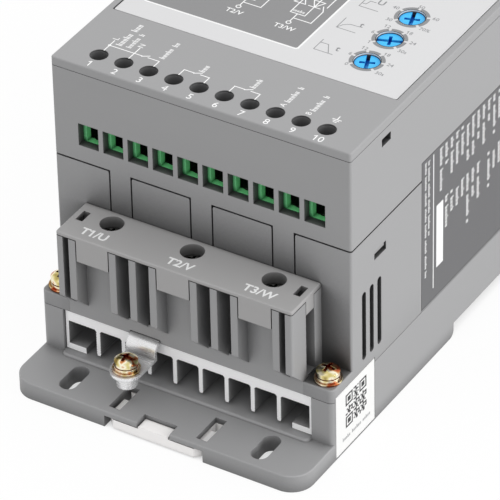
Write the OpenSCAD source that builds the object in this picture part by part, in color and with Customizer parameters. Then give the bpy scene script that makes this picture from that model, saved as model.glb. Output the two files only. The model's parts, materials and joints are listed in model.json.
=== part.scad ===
// Three-phase soft starter, lying on its mounting back.
// The origin is the centre of the mounting plane. +Z points out of the front face.
// The output end, with the control terminals above it, faces -Y and the line end faces +Y.
// In an end frame, +Y points outward from that end wall and X keeps its direction.

/* [Overall] */
// Width of base, housing and cover
body_w = 90; // [86:1:110]
// Length between the two end walls
body_l = 144; // [136:1:180]
// Height of the front face above the mounting plane
body_h = 92.2; // [90:0.2:110]
// Wall thickness of housing and cover
wall_t = 2.4; // [2:0.1:3]
// Radius of the upright corners of housing, cover and terminal covers
corner_r = 0.7; // [0.7:0.1:2]
// Radius of the upright corners of the foot
foot_r = 1.6; // [1:0.1:2]
// Rounding of the upper edges of the mouldings
edge_r = 0.4; // [0.3:0.1:0.6]
// Gap of the seams that show between mouldings
seam_gap = 0.5; // [0.2:0.1:0.6]
// Clearance between pieces that fit into each other
fit = 0.2; // [0.1:0.05:0.3]

/* [Base] */
// Height of the base walls and corner posts
base_h = 19; // [17:0.5:24]
// Height of the base floor under the heatsink
floor_t = 6; // [5.6:0.1:7]
// Thickness of the mounting flanges
flange_t = 5.2; // [5:0.1:6]
// How far a flange reaches out from the end wall
flange_reach = 26.6; // [26:0.2:34]
// Corner radius of the flanges
flange_r = 6.5; // [2:0.5:7]
// How far the stepped foot reaches out from the end wall
foot_reach = 9.8; // [9.2:0.2:11]
// Width of the four corner posts
post_w = 6.6; // [6.4:0.2:7]
// Length of the four corner posts
post_l = 12; // [10:0.5:16]
// Width of a mounting slot
slot_w = 5; // [4:0.1:6]
// Length of a mounting slot
slot_l = 10.8; // [8:0.2:12]
// Distance of the mounting slots from the side walls
slot_side = 15.3; // [10:0.1:20]
// Distance of a mounting slot's centre from the end wall
slot_reach = 18.5; // [17:0.1:19]

/* [Rail mounting] */
// Width of the rail that the recess takes
rail_w = 35; // [32:1:40]
// Play of the rail in its recess
rail_play = 1; // [0.5:0.1:2]
// Depth of the rail recess
recess_d = 4.2; // [4.1:0.1:4.4]
// Rounding at the mouth of the recess
recess_mouth_r = 2; // [1:0.1:2.5]
// How far the hooks reach under the rail's edges
hook_reach = 1.6; // [1:0.1:2]
// Thickness of the fixed hook below the rail's edge
hook_t = 2.8; // [2.4:0.1:2.9]
// Width of the sliding clip
clip_w = 29.2; // [26:0.2:32]
// Thickness of the sliding clip
clip_t = 2.7; // [2.4:0.1:2.8]
// Travel of the sliding clip
clip_travel = 4; // [3:0.5:5]
// Height of the clip's channel under the flange
channel_h = 3.6; // [3.5:0.1:3.8]
// Side play of the clip in its channel
clip_play = 0.6; // [0.3:0.1:0.8]
// Width of the finger lug on the clip
lug_w = 9.2; // [6:0.2:12]
// Length of the clip windows in the flange
window_l = 10; // [8:0.5:11]
// Width of the clip windows in the flange
window_w = 3.4; // [2.5:0.1:4]

/* [Heatsink] */
// Thickness of the heatsink plate
plate_t = 3.8; // [3:0.1:6]
// Number of fins
fin_count = 8; // [4:1:9]
// Distance between fins
fin_pitch = 8; // [6:0.5:8]
// Thickness of a fin
fin_t = 1.4; // [1.2:0.1:2]
// Gap between the fin tips and the floor
fin_gap = 0.8; // [0.4:0.1:2]
// Number of grooves along each fin side
fin_teeth = 10; // [3:1:12]
// Depth of a groove in a fin side
fin_groove = 0.22; // [0.1:0.02:0.3]
// Thickness of the heatsink's side walls
side_t = 0.9; // [0.8:0.1:2]
// Length of the inward feet under the side walls
foot_l = 6.2; // [4:0.2:6.4]
// Thickness of the inward feet
foot_t = 1.8; // [1.4:0.1:2.5]
// How far the heatsink ends lie behind the post faces
sink_inset = 0.9; // [0.4:0.1:2]

/* [Housing] */
// Thickness of the housing's stepped skirt
skirt_t = 4.3; // [4:0.1:5.5]
// Height of the housing up to the cover seam
housing_h = 42.6; // [41:0.2:50]
// Thickness of the housing floor
housing_floor_t = 2.5; // [2:0.1:3]
// Width of the cover legs set into the end walls
leg_w = 6.2; // [5:0.2:8]
// How far the legs reach down from the seam
leg_drop = 16; // [12:0.5:17]
// Side gap of the cover legs
leg_gap = 0.45; // [0.2:0.05:0.7]
// Width of a side vent
vent_w = 2; // [1.5:0.1:2.5]
// Distance between side vents
vent_pitch = 3.95; // [3.5:0.05:5]
// Height of a side vent
vent_h = 21.6; // [16:0.2:24]
// Height of the lowest point of the vents above the base
vent_rise = 4.4; // [4:0.1:6]
// Distance of the first vent from the end wall
vent_start = 6.3; // [5:0.1:8]
// Distance of the snap windows from the end wall
snap_y = 14.7; // [12:0.1:18]
// Width of a snap window
snap_w = 6; // [5:0.2:8]
// Height of a snap window
snap_h = 2.65; // [2:0.05:3.5]
// Distance of a snap window below the seam
snap_drop = 7.1; // [6:0.1:9]

/* [Power terminals] */
// Distance of the terminal blocks from the side walls
block_side = 9; // [8.6:0.1:10]
// Height of the terminal blocks above the base
block_h = 28.5; // [27.5:0.1:30]
// How far the block ribs reach out from the end wall
rib_reach = 14.8; // [13:0.2:16]
// Thickness of a rib
rib_w = 2.1; // [1.6:0.1:2.6]
// Width of a wire bay
bay_w = 10.4; // [9:0.2:11]
// Thickness of the terminal cover plate
tcover_t = 1.35; // [1.2:0.05:2]
// Depth of the skirts on the terminal cover
tcover_drop = 6.4; // [4:0.2:7]
// Diameter of a screw access hole
access_d = 6.6; // [6.2:0.1:7]
// Distance of the access holes from the end wall
access_reach = 4.8; // [4.6:0.1:5]
// Width of a clamp cage
cage_w = 9.6; // [9:0.1:10]
// Length of a clamp cage
cage_l = 7.4; // [6.8:0.1:7.8]
// Height of a clamp cage
cage_h = 8.4; // [7.8:0.1:8.6]
// Wall of a clamp cage
cage_t = 1.1; // [0.9:0.1:1.2]
// Width of a busbar
bus_w = 7; // [6:0.1:7.2]
// Thickness of a busbar
bus_t = 1.3; // [1:0.1:1.4]
// Head diameter of a clamp screw
clamp_head_d = 5.8; // [5:0.1:6]

/* [Control terminals] */
// Least distance of the control ways from the side walls
way_side = 5.5; // [5:0.1:8]
// Distance between control ways
way_pitch = 7.62; // [7.5:0.01:7.8]
// Width of a wire window in the cover
wire_w = 6.2; // [5.6:0.1:6.4]
// Height of a wire window in the cover
wire_h = 6.9; // [6.4:0.1:7.4]
// Height of the window sill above the seam
wire_rise = 5.1; // [4.6:0.1:6]
// Diameter of a screwdriver hole in the front face
driver_d = 5; // [4.6:0.1:5.2]
// Distance of the screwdriver holes from the end wall
driver_in = 6.6; // [6.4:0.1:7]
// Height of the green terminal block
green_h = 15; // [14:0.5:17]

/* [Front face] */
// Thickness of the front face
lid_t = 2.5; // [2:0.1:3]
// Depth of the shadow lines round the mouldings
line_d = 0.15; // [0.1:0.05:0.4]
// Distance of the shadow line below the front face
line_drop = 2.7; // [2:0.1:4]
// Width of the grey border beside the overlay
overlay_side = 2.3; // [2:0.1:5]
// Length of the front overlay
overlay_l = 89.8; // [86:0.2:96]
// Thickness of the front overlay
overlay_t = 0.4; // [0.3:0.05:0.6]
// Diameter of a dial
dial_d = 6.8; // [6.4:0.1:7.6]
// Distance of the dials from the side wall
dial_side = 17.7; // [16:0.1:20]
// Distance of the first dial from the overlay's end
dial_in = 11.7; // [8:0.1:14]
// Distance between dials
dial_pitch = 11.7; // [11:0.1:12.5]
// How far a dial lies below the front face
dial_drop = 0.7; // [0:0.1:1]
// Width of the long slot in a dial
dial_slot_w = 1.1; // [0.6:0.05:1.4]
// Width of the short slot in a dial
dial_cross_w = 0.9; // [0.4:0.05:1.2]
// Depth of the slots in a dial
dial_slot_d = 1.6; // [0.6:0.1:2]
// Length of the short slot in a dial
dial_slot_l = 4.2; // [3:0.1:5]

/* [Labels] */
// Length of the side label
label_l = 71; // [50:1:76]
// Height of the side label
label_h = 47.4; // [30:0.2:50]
// Height of the side label's lower edge above the base
label_rise = 0.7; // [0.4:0.1:4]
// Thickness of the side labels
label_t = 0.25; // [0.2:0.05:0.4]
// Length of the square sticker
sticker_l = 19.8; // [15:0.2:20]
// Height of the square sticker
sticker_h = 19.8; // [15:0.2:20]

/* [Earthing] */
// Width of the earth strap
strap_w = 9; // [7:0.2:10]
// Thickness of the earth strap
strap_t = 1; // [0.8:0.1:1.2]
// Outer radius of the strap's roll
strap_r = 3.2; // [2.6:0.1:3.6]
// Drop from the top of the strap to its tongue
strap_drop = 4.6; // [4:0.1:5]
// Distance of the earth screw from the end wall
earth_reach = 19.3; // [18:0.1:21]

/* [Fasteners] */
// Shank diameter of the larger screws
screw_d = 4; // [3.5:0.1:4]
// Head diameter of the larger screws
head_d = 6.4; // [6:0.1:7]
// Head height of the larger screws
head_h = 2.6; // [2.4:0.1:3.2]
// Diameter of the flat washers
washer_d = 7.6; // [7:0.1:8]
// Thickness of the flat washers
washer_t = 0.6; // [0.5:0.1:0.8]
// Thickness of the spring washers
spring_t = 1; // [0.8:0.1:1.2]
// Length of the housing screws
housing_screw_l = 14; // [10:0.5:16]

/* [Electronics] */
// Thickness of the circuit boards
board_t = 1.6; // [1.2:0.1:2]
// Height of the power board above the base
power_rise = 22; // [21.8:0.2:24]
// Width of a thyristor module
module_w = 20; // [16:0.5:21]
// Length of a thyristor module
module_l = 44; // [40:1:50]
// Height of a thyristor module's case
module_h = 15; // [12:0.5:15.5]
// Distance of a module terminal from the centre
terminal_y = 9; // [8:0.5:10]
// Height of a bypass relay
relay_h = 15.6; // [12:0.2:16]
// Length of a bypass relay
relay_l = 28; // [24:1:32]

/* [Hidden] */
$fn = 64;

// Colours
grey_case = [0.58, 0.58, 0.58];
grey_cover = [0.62, 0.61, 0.60];
white_film = [0.90, 0.90, 0.90];
dark_film = [0.42, 0.42, 0.42];
white_clip = [0.88, 0.87, 0.87];
green_plastic = [0.20, 0.60, 0.32];
blue_dial = [0.25, 0.66, 0.96];
bright_metal = [0.84, 0.84, 0.84];
zinc_yellow = [0.80, 0.72, 0.45];
copper_red = [0.78, 0.48, 0.32];
board_green = [0.10, 0.35, 0.22];
black_plastic = [0.12, 0.12, 0.12];
dark_grey = [0.36, 0.36, 0.36];

// Margin by which a cutter passes the face it opens
over = 1;
// Overlap that fuses the features of one moulding
weld = 0.1;

// Levels and main half sizes
half_w = body_w / 2;
half_l = body_l / 2;
foot_len = body_l + 2 * foot_reach;
flange_len = body_l + 2 * flange_reach;
inner_w = body_w - 2 * wall_t;
inner_l = body_l - 2 * wall_t;
inner_r = 0.8;
pad_z = base_h + skirt_t;
seam_z = base_h + housing_h;
lid_z = body_h - lid_t;
block_z = base_h + block_h;
leg_z = seam_z - leg_drop;
sill_z = seam_z + wire_rise;
slot_x = half_w - slot_side;

// Rail recess, channel and clip
recess_w = rail_w + rail_play;
channel_w = clip_w + 2 * clip_play;
clip_top = channel_h - 1.5 * fit;
clip_bottom = clip_top - clip_t;
clip_front = -half_l - flange_reach;
clip_back = -recess_w / 2 + hook_reach;
clip_corner = 2.2;
lug_rise = 0.7;
lug_gap = 0.3;
notch_side = 0.5;
notch_w = lug_w + 2 * notch_side;
notch_l = 4.2;
lug_l = notch_l - lug_gap;
lug_top = clip_top + lug_rise;
window_reach = 14.2;
window_side = 1.1;
window_x = clip_w / 2 - window_side;
ledge_w = 2;
ledge_t = 1.1;
ledge_front = 4;
ledge_back = 12;
ledge_y = [-half_l + ledge_front, -recess_w / 2 - ledge_back];
stop_w = 5.4;
stop_l = 5;
stop_in = 18;
stop_y = -half_l + stop_in;
stop_slot_l = stop_l + clip_travel + 2 * fit;
core_skin = 2;
core_rib = 4;
sill_w = body_w - 2 * post_w;
sill_reach = 2;
sill_r = 0.7;

// Heatsink
sink_w = body_w - 2 * post_w - 2 * fit;
sink_len = foot_len - 2 * sink_inset;
fin_top = base_h - plate_t;
fin_h = fin_top - floor_t - fin_gap;
fin_root = 0.4;

// Power terminals
end_groove = 1.8;
block_w = body_w - 2 * block_side;
phase_pitch = (block_w - bay_w) / 2 - 2 * rib_w - end_groove;
phase_x = [for (i = [-1:1]) i * phase_pitch];
between_x = [for (i = [-0.5, 0.5]) i * phase_pitch];
bay_rib_x = (bay_w + rib_w) / 2;
cage_rise = 12.7;
cage_z = pad_z + cage_rise;
bus_z = cage_z + cage_t;
cage_in = access_reach - cage_l / 2;
chamber_w = cage_w + 4 * fit;
front_wall_t = 1;
groove_depth = 7;
tab_r = 0.9;
block_lip = 0.7;
block_floor = pad_z + block_lip;
side_groove = [3.6, 7.9];
side_groove_d = 4.8;
collar_wall = 1;
collar_drop = 2.2;
tcover_skirt_t = 1.4;
tcover_hook_drop = 4.1;
tcover_gap = 0.3;
latch_w = 2.1;
latch_l = 4.3;
latch_in = 2.8;
latch_reach = 5.7;
clamp_shank_d = 3.9;
clamp_head_h = 2.2;
cage_gap = [cage_w - 2 * cage_t, cage_h - 2 * cage_t];

// Control terminals
ways = floor((body_w - 2 * way_side) / way_pitch);
way_x = [for (i = [0:ways - 1]) (i - (ways - 1) / 2) * way_pitch];
control_rise = 0.8;
control_z = seam_z + control_rise;
control_top = control_z + board_t;
green_gap = 0.2;
green_in = wall_t + green_gap;
green_l = 11.2;
green_w = ways * way_pitch;
clamp_w = 5.8;
clamp_l = 3.8;
clamp_rise = 1.4;
clamp_h = 8.2;
clamp_t = 0.7;
clamp_slot = [clamp_w - 2 * clamp_t, 5.4];
clamp_sill = 1.3;
wire_tail = 2.9;
control_shank_d = 2.9;
control_head_d = 4.2;
control_head_h = 2.2;
green_bore_d = control_head_d + 2 * fit;
driver_lid_t = 0.5;
relief_l = 4;
guide_wall = 0.8;
guide_d = driver_d - fit;

// Dials
dial_y = [for (i = [0:2]) dial_in - overlay_l / 2 + i * dial_pitch];
dial_x = half_w - dial_side;
dial_top = body_h - dial_drop;
dial_angle = [112, 20, 108];
trimmer_w = 9.6;
dial_hole_d = dial_d + 2 * fit;
overlay_w = body_w - 2 * overlay_side;
overlay_r = 0.4;
overlay_sink = 0.15;
overlay_gap = 0.35;
overlay_z = body_h - overlay_sink - overlay_t;
front_board_drop = 7.3;
front_board_z = lid_z - front_board_drop;
front_board_top = front_board_z + board_t;
trimmer_top = lid_z - fit;
trimmer_floor = 1.5;
front_board_side = 3;
front_board_end = 1;
front_board_w = overlay_w - 2 * front_board_side;
front_board_l = overlay_l - 2 * front_board_end;
front_boss_in = [3.3, 3.8];
front_boss = [front_board_w / 2 - front_boss_in[0], front_board_l / 2 - front_boss_in[1]];
front_boss_d = 5;

// Electronics
power_z = base_h + power_rise;
power_top = power_z + board_t;
board_pin_in = [4.6, 22];
board_pin = [inner_w / 2 - board_pin_in[0], half_l - board_pin_in[1]];
board_pin_d = 4.5;
board_post_d = 7;
power_board_side = 0.8;
power_board_end = 6;
power_board_w = inner_w - 2 * power_board_side;
power_board_l = 2 * (board_pin[1] + power_board_end);
control_board_side = 3;
control_board_w = inner_w - 2 * control_board_side;
small_screw_d = 2.9;
small_head_d = 5.4;
small_head_h = 2;
small_screw_l = 6;
module_ear_t = 4;
module_ear_l = 7;
module_hole_in = 3.6;
module_body_l = module_l - 2 * module_ear_l;
module_hole_y = module_l / 2 - module_hole_in;
module_post_d = 8;
bus_tail = 4;
bus_end = terminal_y - bus_tail;
relay_w = module_w;
header_w = 30;
header_l = 6;
header_y = 20;

// Snaps between cover and housing
tongue_t = 1.7;
snap_z = seam_z - snap_drop - snap_h;
rim_window = [4.5, 2.4];
rim_window_y = 18;
rim_window_drop = 6.2;
label_z = base_h + label_rise;

// Earthing and fasteners
strap_x = -phase_pitch / 2;
strap_top = base_h + strap_t;
bend_in = 0.6;
bend_reach = foot_reach - bend_in;
strap_front = bend_reach + strap_r;
tongue_z = strap_top - strap_drop;
tongue_base = tongue_z - strap_t;
earth_nut_h = 4;
earth_nut_d = [5.6, 6.2];
earth_head_z = tongue_z + washer_t + spring_t;
pad_side = 4;
pad_reach = 5.4;
pad_screw = [half_w - pad_side, pad_reach];
screw_hole_d = screw_d + 2 * fit;
head_neck = 0.25;
rim_share = 0.55;
recess_share = 0.6;
sticker_in = 1.5;
sticker_rise = 1.3;

// Rectangle with rounded corners, centred
module rounded_rect(w, l, r) {
    square([w, l - 2 * r], center = true);
    square([w - 2 * r, l], center = true);
    for (x = [-1, 1], y = [-1, 1])
        translate([x * (w / 2 - r), y * (l / 2 - r)]) circle(r);
}

// Half side view of a plate from its middle outward, its upper edge rounded
module eased_2d(half, h, e) {
    square([half, h - e]);
    square([half - e, h]);
    translate([half - e, h - e]) circle(e);
}

// Plate with rounded corners and a rounded upper edge, centred on z
module eased_plate(w, l, h, r, e) {
    along_x([-w / 2 + r, w / 2 - r])
        for (s = [0, 1]) mirror([s, 0]) eased_2d(l / 2, h, e);
    rotate(90) along_x([-l / 2 + r, l / 2 - r])
        for (s = [0, 1]) mirror([s, 0]) eased_2d(w / 2, h, e);
    for (x = [-1, 1], y = [-1, 1])
        translate([x * (w / 2 - r), y * (l / 2 - r), 0]) rotate_extrude() eased_2d(r, h, e);
}

// Slot with round ends, centred, its length along Y
module capsule(w, l) {
    square([w, l - w], center = true);
    for (y = [-1, 1]) translate([0, y * (l - w) / 2]) circle(d = w);
}

// Box between limits given per axis
module span(x, y, z) {
    translate([x[0], y[0], z[0]]) cube([x[1] - x[0], y[1] - y[0], z[1] - z[0]]);
}

// Profile drawn in Y and Z, drawn out along X between two limits
module along_x(x) {
    translate([x[0], 0, 0]) rotate([90, 0, 90]) linear_extrude(x[1] - x[0]) children();
}

// Children in the frame of one end, +Y outward
module at_end(output) {
    side = output ? -1 : 1;
    translate([0, side * half_l, 0]) mirror([0, output ? 1 : 0, 0]) children();
}

module both_ends() {
    at_end(true) children();
    at_end(false) children();
}

module both_sides() {
    children();
    mirror([1, 0, 0]) children();
}

// Cross recess cut into a screw head from above
module cross_recess(size, depth) {
    for (a = [0, 90])
        rotate(a) translate([0, 0, -depth / 2]) cube([size, size / 4.5, depth], center = true);
}

// Pan-head screw with a relieved rim, its head seat at z = 0 and its shank pointing down
module pan_screw(shank_d, length, head_d, head_h) {
    rim = rim_share * head_h;
    dome = head_h - rim;
    dome_r = (pow(head_d / 2, 2) + pow(dome, 2)) / (2 * dome);
    difference() {
        union() {
            translate([0, 0, -length]) cylinder(d = shank_d, h = length + weld);
            rotate_extrude() {
                square([head_d / 2 - head_neck, rim]);
                translate([0, head_neck]) square([head_d / 2, rim - head_neck]);
                intersection() {
                    translate([0, head_h - dome_r]) circle(dome_r);
                    translate([0, rim - weld]) square([head_d / 2, dome + weld]);
                }
            }
        }
        translate([0, 0, head_h + weld]) cross_recess(recess_share * head_d, recess_share * head_h);
    }
}

module flat_washer() {
    difference() {
        cylinder(d = washer_d, h = washer_t);
        translate([0, 0, -over]) cylinder(d = screw_hole_d, h = washer_t + 2 * over);
    }
}

// Split ring with a slanted cut
module spring_washer() {
    difference() {
        cylinder(d = head_d + fit, h = spring_t);
        translate([0, 0, -over]) cylinder(d = screw_hole_d, h = spring_t + 2 * over);
        translate([head_d / 2, 0, spring_t / 2]) rotate([30, 0, 0])
            cube([head_d, spring_t / 2, 4 * spring_t], center = true);
    }
}

// Fine groove round a moulding of a given length and corner radius
module shadow_line(l, r, z) {
    translate([0, 0, z]) linear_extrude(line_d) difference() {
        square([body_w + over, l + over], center = true);
        rounded_rect(body_w - 2 * line_d, l - 2 * line_d, r);
    }
}

// Positions of the four housing screws on the pads
module at_pad_screws() {
    both_ends() both_sides() translate([pad_screw[0], pad_screw[1], 0]) children();
}

// Base tray

module base_walls_2d() {
    intersection() {
        rounded_rect(body_w, foot_len, foot_r);
        for (s = [-1, 1]) {
            translate([s * (half_w - wall_t / 2), 0]) square([wall_t, foot_len], center = true);
            for (e = [-1, 1])
                translate([s * (half_w - post_w / 2), e * (foot_len - post_l) / 2])
                    square([post_w, post_l], center = true);
        }
    }
}

// Recess for the rail with a rounded mouth and a fixed hook on the line side
module rail_recess_2d() {
    translate([-recess_w / 2, -over]) square([recess_w, recess_d + over]);
    translate([0, hook_t]) square([recess_w / 2 + hook_reach, recess_d - hook_t]);
    difference() {
        translate([-recess_w / 2 - recess_mouth_r, -over])
            square([recess_w + 2 * recess_mouth_r, recess_mouth_r + over]);
        for (s = [-1, 1])
            translate([s * (recess_w / 2 + recess_mouth_r), recess_mouth_r]) circle(recess_mouth_r);
    }
}

// Hollows that lighten the floor from below, either side of the clip channel
module floor_cores() {
    x_in = channel_w / 2 + core_rib;
    x_out = half_w - wall_t - core_rib / 2;
    y_in = recess_w / 2 + recess_mouth_r + core_rib;
    y_out = half_l - core_rib;
    y_mid = (y_in + y_out) / 2;
    for (y = [[y_in, y_mid - core_skin / 2], [y_mid + core_skin / 2, y_out]], e = [0, 1], s = [0, 1])
        mirror([0, e, 0]) mirror([s, 0, 0]) span([x_in, x_out], y, [-over, floor_t - core_skin]);
}

module clip_channel_cuts() {
    span([-channel_w / 2, channel_w / 2], [clip_front - over, -recess_w / 2 + over], [-over, channel_h]);
    at_end(true) {
        both_sides() span([window_x - window_w / 2, window_x + window_w / 2],
            [window_reach, window_reach + window_l], [0, flange_t + over]);
        span([-notch_w / 2, notch_w / 2], [flange_reach - notch_l, flange_reach + over],
            [0, flange_t + over]);
    }
}

// Ledges that carry the clip's edges and the rib that stops its travel
module clip_guides() {
    both_sides() span([channel_w / 2 - ledge_w, channel_w / 2 + weld], ledge_y, [0, ledge_t]);
    span([-stop_w / 2, stop_w / 2], [stop_y, stop_y + stop_l], [clip_bottom, channel_h + weld]);
}

module sticker_pocket() {
    at_end(true) span([half_w - label_t, half_w + over],
        [foot_reach - sticker_in - sticker_l - fit, foot_reach - sticker_in + fit],
        [base_h + sticker_rise - sticker_h - fit, base_h + sticker_rise + fit]);
}

module base_tray() {
    color(grey_case) {
        difference() {
            union() {
                eased_plate(body_w, flange_len, flange_t, flange_r, edge_r);
                eased_plate(body_w, foot_len, floor_t, foot_r, edge_r);
                eased_plate(sill_w, foot_len + 2 * sill_reach, floor_t, foot_r, sill_r);
                linear_extrude(base_h) base_walls_2d();
            }
            along_x([-half_w - over, half_w + over]) rail_recess_2d();
            floor_cores();
            clip_channel_cuts();
            both_ends() both_sides() translate([slot_x, slot_reach, -over])
                linear_extrude(flange_t + 2 * over) capsule(slot_w, slot_l);
            at_pad_screws() translate([0, 0, pad_z - housing_screw_l - over])
                cylinder(d = screw_hole_d, h = housing_screw_l);
            sticker_pocket();
        }
        clip_guides();
    }
}

// Sliding rail clip

module clip_outline_2d() {
    difference() {
        translate([-clip_w / 2, clip_front]) square([clip_w, clip_back - clip_front]);
        for (s = [-1, 1])
            translate([s * clip_w / 2, clip_front]) rotate(45)
                square(clip_corner * sqrt(2), center = true);
        translate([-stop_w / 2 - fit, stop_y - fit]) square([stop_w + 2 * fit, stop_slot_l]);
        for (s = [-1, 1])
            translate([s * window_x - window_w / 2, -half_l - window_reach - window_w])
                square([window_w, window_w]);
    }
}

// Side view of the clip, with its finger lug and the ramp of its nose
module clip_profile_2d() {
    nose = clip_t / 2;
    polygon([[clip_front, clip_bottom], [clip_back - nose, clip_bottom], [clip_back, clip_bottom + nose],
        [clip_back, clip_top], [clip_front, clip_top]]);
}

module rail_clip() {
    color(white_clip) {
        difference() {
            intersection() {
                linear_extrude(flange_t) clip_outline_2d();
                along_x([-clip_w, clip_w]) clip_profile_2d();
            }
            both_sides() span([clip_w / 2 - ledge_w + clip_play - fit, clip_w],
                [ledge_y[0] - clip_travel - fit, ledge_y[1] + clip_travel + fit], [-over, ledge_t + fit]);
        }
        span([-lug_w / 2, lug_w / 2], [clip_front, clip_front + lug_l], [clip_bottom, lug_top]);
    }
}

// Heatsink extrusion

// One fin below z = 0, flared at its root and with saw-tooth sides
module fin_2d() {
    step = (fin_h - fin_root) / fin_teeth;
    root = fin_t / 2 + fin_root;
    flank = [for (i = [0:fin_teeth - 1], k = [0, 1])
        [fin_t / 2 - k * fin_groove, -fin_root - (i + k / 2) * step]];
    tip = [fin_t / 2 - fin_groove, -fin_h];
    side = concat([[root, weld], [root, 0]], flank, [tip]);
    polygon(concat([for (p = side) [-p[0], p[1]]], [for (i = [len(side) - 1:-1:0]) side[i]]));
}

module heatsink_2d() {
    translate([-sink_w / 2, fin_top]) square([sink_w, plate_t]);
    for (i = [0:fin_count - 1])
        translate([(i - (fin_count - 1) / 2) * fin_pitch, fin_top]) fin_2d();
    for (s = [-1, 1]) {
        translate([s * (sink_w - side_t) / 2, (floor_t + base_h) / 2])
            square([side_t, base_h - floor_t], center = true);
        translate([s * (sink_w - foot_l) / 2, floor_t + foot_t / 2])
            square([foot_l, foot_t], center = true);
    }
}

module at_module_screws() {
    for (x = phase_x, s = [-1, 1]) translate([x, s * module_hole_y, 0]) children();
}

module heatsink() {
    color(bright_metal) difference() {
        rotate([90, 0, 0]) linear_extrude(sink_len, center = true) heatsink_2d();
        at_module_screws() translate([0, 0, fin_top - over])
            cylinder(d = screw_hole_d, h = plate_t + 2 * over);
    }
}

// Terminal block of one end

// Side view of a rib, its underside sloping back to the wall
module rib_2d() {
    polygon([[0, pad_z], [foot_reach, pad_z], [rib_reach, pad_z + rib_reach - foot_reach],
        [rib_reach, block_z], [0, block_z]]);
}

module rib_at(x) {
    along_x([x - rib_w / 2, x + rib_w / 2]) rib_2d();
}

module terminal_block_ribs() {
    intersection() {
        union() {
            span([-block_w / 2, block_w / 2], [0, foot_reach], [base_h, block_z]);
            for (x = phase_x, s = [-1, 1]) rib_at(x + s * bay_rib_x);
            for (x = between_x) rib_at(x);
            both_sides() rib_at((block_w - rib_w) / 2);
        }
        linear_extrude(body_h) rounded_rect(block_w, 2 * rib_reach, corner_r);
    }
}

// Deep grooves between neighbouring ribs
module terminal_block_grooves() {
    reach = [foot_reach - groove_depth, rib_reach];
    inner = phase_pitch / 2 - bay_rib_x - rib_w;
    for (x = between_x, s = [0, 1]) translate([x, 0, 0]) mirror([s, 0, 0])
        span([rib_w / 2, rib_w / 2 + inner], reach, [block_floor, block_z + over]);
    both_sides() {
        span([phase_pitch + bay_rib_x + rib_w / 2, block_w / 2 - rib_w],
            [side_groove[1] + front_wall_t, rib_reach], [block_floor, block_z + over]);
        span([block_w / 2 - side_groove_d, block_w / 2 + over], side_groove, [block_floor, block_z + over]);
    }
}

// Clamp chambers with their wire mouths
module terminal_block_chambers() {
    mouth_z = bus_z + bus_t;
    for (x = phase_x) translate([x, 0, 0]) {
        span([-chamber_w / 2, chamber_w / 2], [0, foot_reach - front_wall_t], [cage_z, block_z + over]);
        span([-cage_gap[0] / 2, cage_gap[0] / 2], [0, foot_reach + over],
            [mouth_z, cage_z + cage_h - cage_t]);
    }
}

module strap_channel() {
    at_end(true) span([strap_x - strap_w / 2 - fit, strap_x + strap_w / 2 + fit], [0, foot_reach + over],
        [base_h - over, strap_top + fit]);
}

module terminal_block() {
    difference() {
        terminal_block_ribs();
        terminal_block_grooves();
        terminal_block_chambers();
    }
}

module output_terminal_block() {
    color(grey_case) difference() {
        at_end(true) terminal_block();
        strap_channel();
        shadow_line(foot_len, foot_r, base_h);
    }
}

module line_terminal_block() {
    color(grey_case) difference() {
        at_end(false) terminal_block();
        shadow_line(foot_len, foot_r, base_h);
    }
}

// Middle housing

module busbar_slots() {
    for (x = phase_x) translate([x, 0, 0])
        span([-bus_w / 2 - fit, bus_w / 2 + fit], [-wall_t - over, over], [bus_z - fit, bus_z + bus_t + fit]);
}

// Gap in the skirt that takes a terminal block
module block_gap() {
    span([-block_w / 2, block_w / 2], [0, foot_reach + over], [base_h - over, pad_z + over]);
}

// Notches in an end wall that take the cover's legs
module leg_notches() {
    notch = leg_w / 2 + leg_gap;
    for (x = phase_x) translate([x, 0, 0]) {
        span([-notch, notch], [-wall_t - over, weld], [leg_z, seam_z + over]);
        both_sides() translate([notch, weld, seam_z - tab_r]) rotate([90, 0, 0])
            linear_extrude(wall_t + over) difference() {
                square(tab_r);
                translate([tab_r, 0]) circle(tab_r);
            }
    }
}

module vents() {
    for (i = [0:2])
        translate([0, -vent_start - i * vent_pitch, base_h + vent_rise + vent_h / 2])
            rotate([90, 0, 90]) linear_extrude(body_w + 2 * over, center = true) capsule(vent_w, vent_h);
}

module snap_windows() {
    span([-half_w - over, half_w + over], [-snap_y - snap_w / 2, -snap_y + snap_w / 2],
        [snap_z, snap_z + snap_h]);
}

module label_pocket() {
    span([half_w - label_t, half_w + over], [-label_l / 2 - fit, label_l / 2 + fit],
        [label_z - fit, label_z + label_h + fit]);
}

// Stepped posts: the shoulder carries the power board, the tip carries the control board
module board_posts() {
    for (x = [-1, 1], y = [-1, 1]) translate([x * board_pin[0], y * board_pin[1], base_h]) {
        cylinder(d = board_post_d, h = power_z - base_h);
        cylinder(d = board_pin_d, h = control_z - base_h);
    }
}

module board_pin_bores() {
    for (x = [-1, 1], y = [-1, 1])
        translate([x * board_pin[0], y * board_pin[1], control_z - small_screw_l - over])
            cylinder(d = small_screw_d + 2 * fit, h = small_screw_l + 2 * over);
}

module housing_shell() {
    difference() {
        translate([0, 0, base_h]) {
            linear_extrude(housing_h - seam_gap / 2) rounded_rect(body_w, body_l, corner_r);
            eased_plate(body_w, foot_len, skirt_t, foot_r, edge_r);
        }
        translate([0, 0, base_h + housing_floor_t])
            linear_extrude(housing_h) rounded_rect(inner_w, inner_l, inner_r);
    }
}

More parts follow.
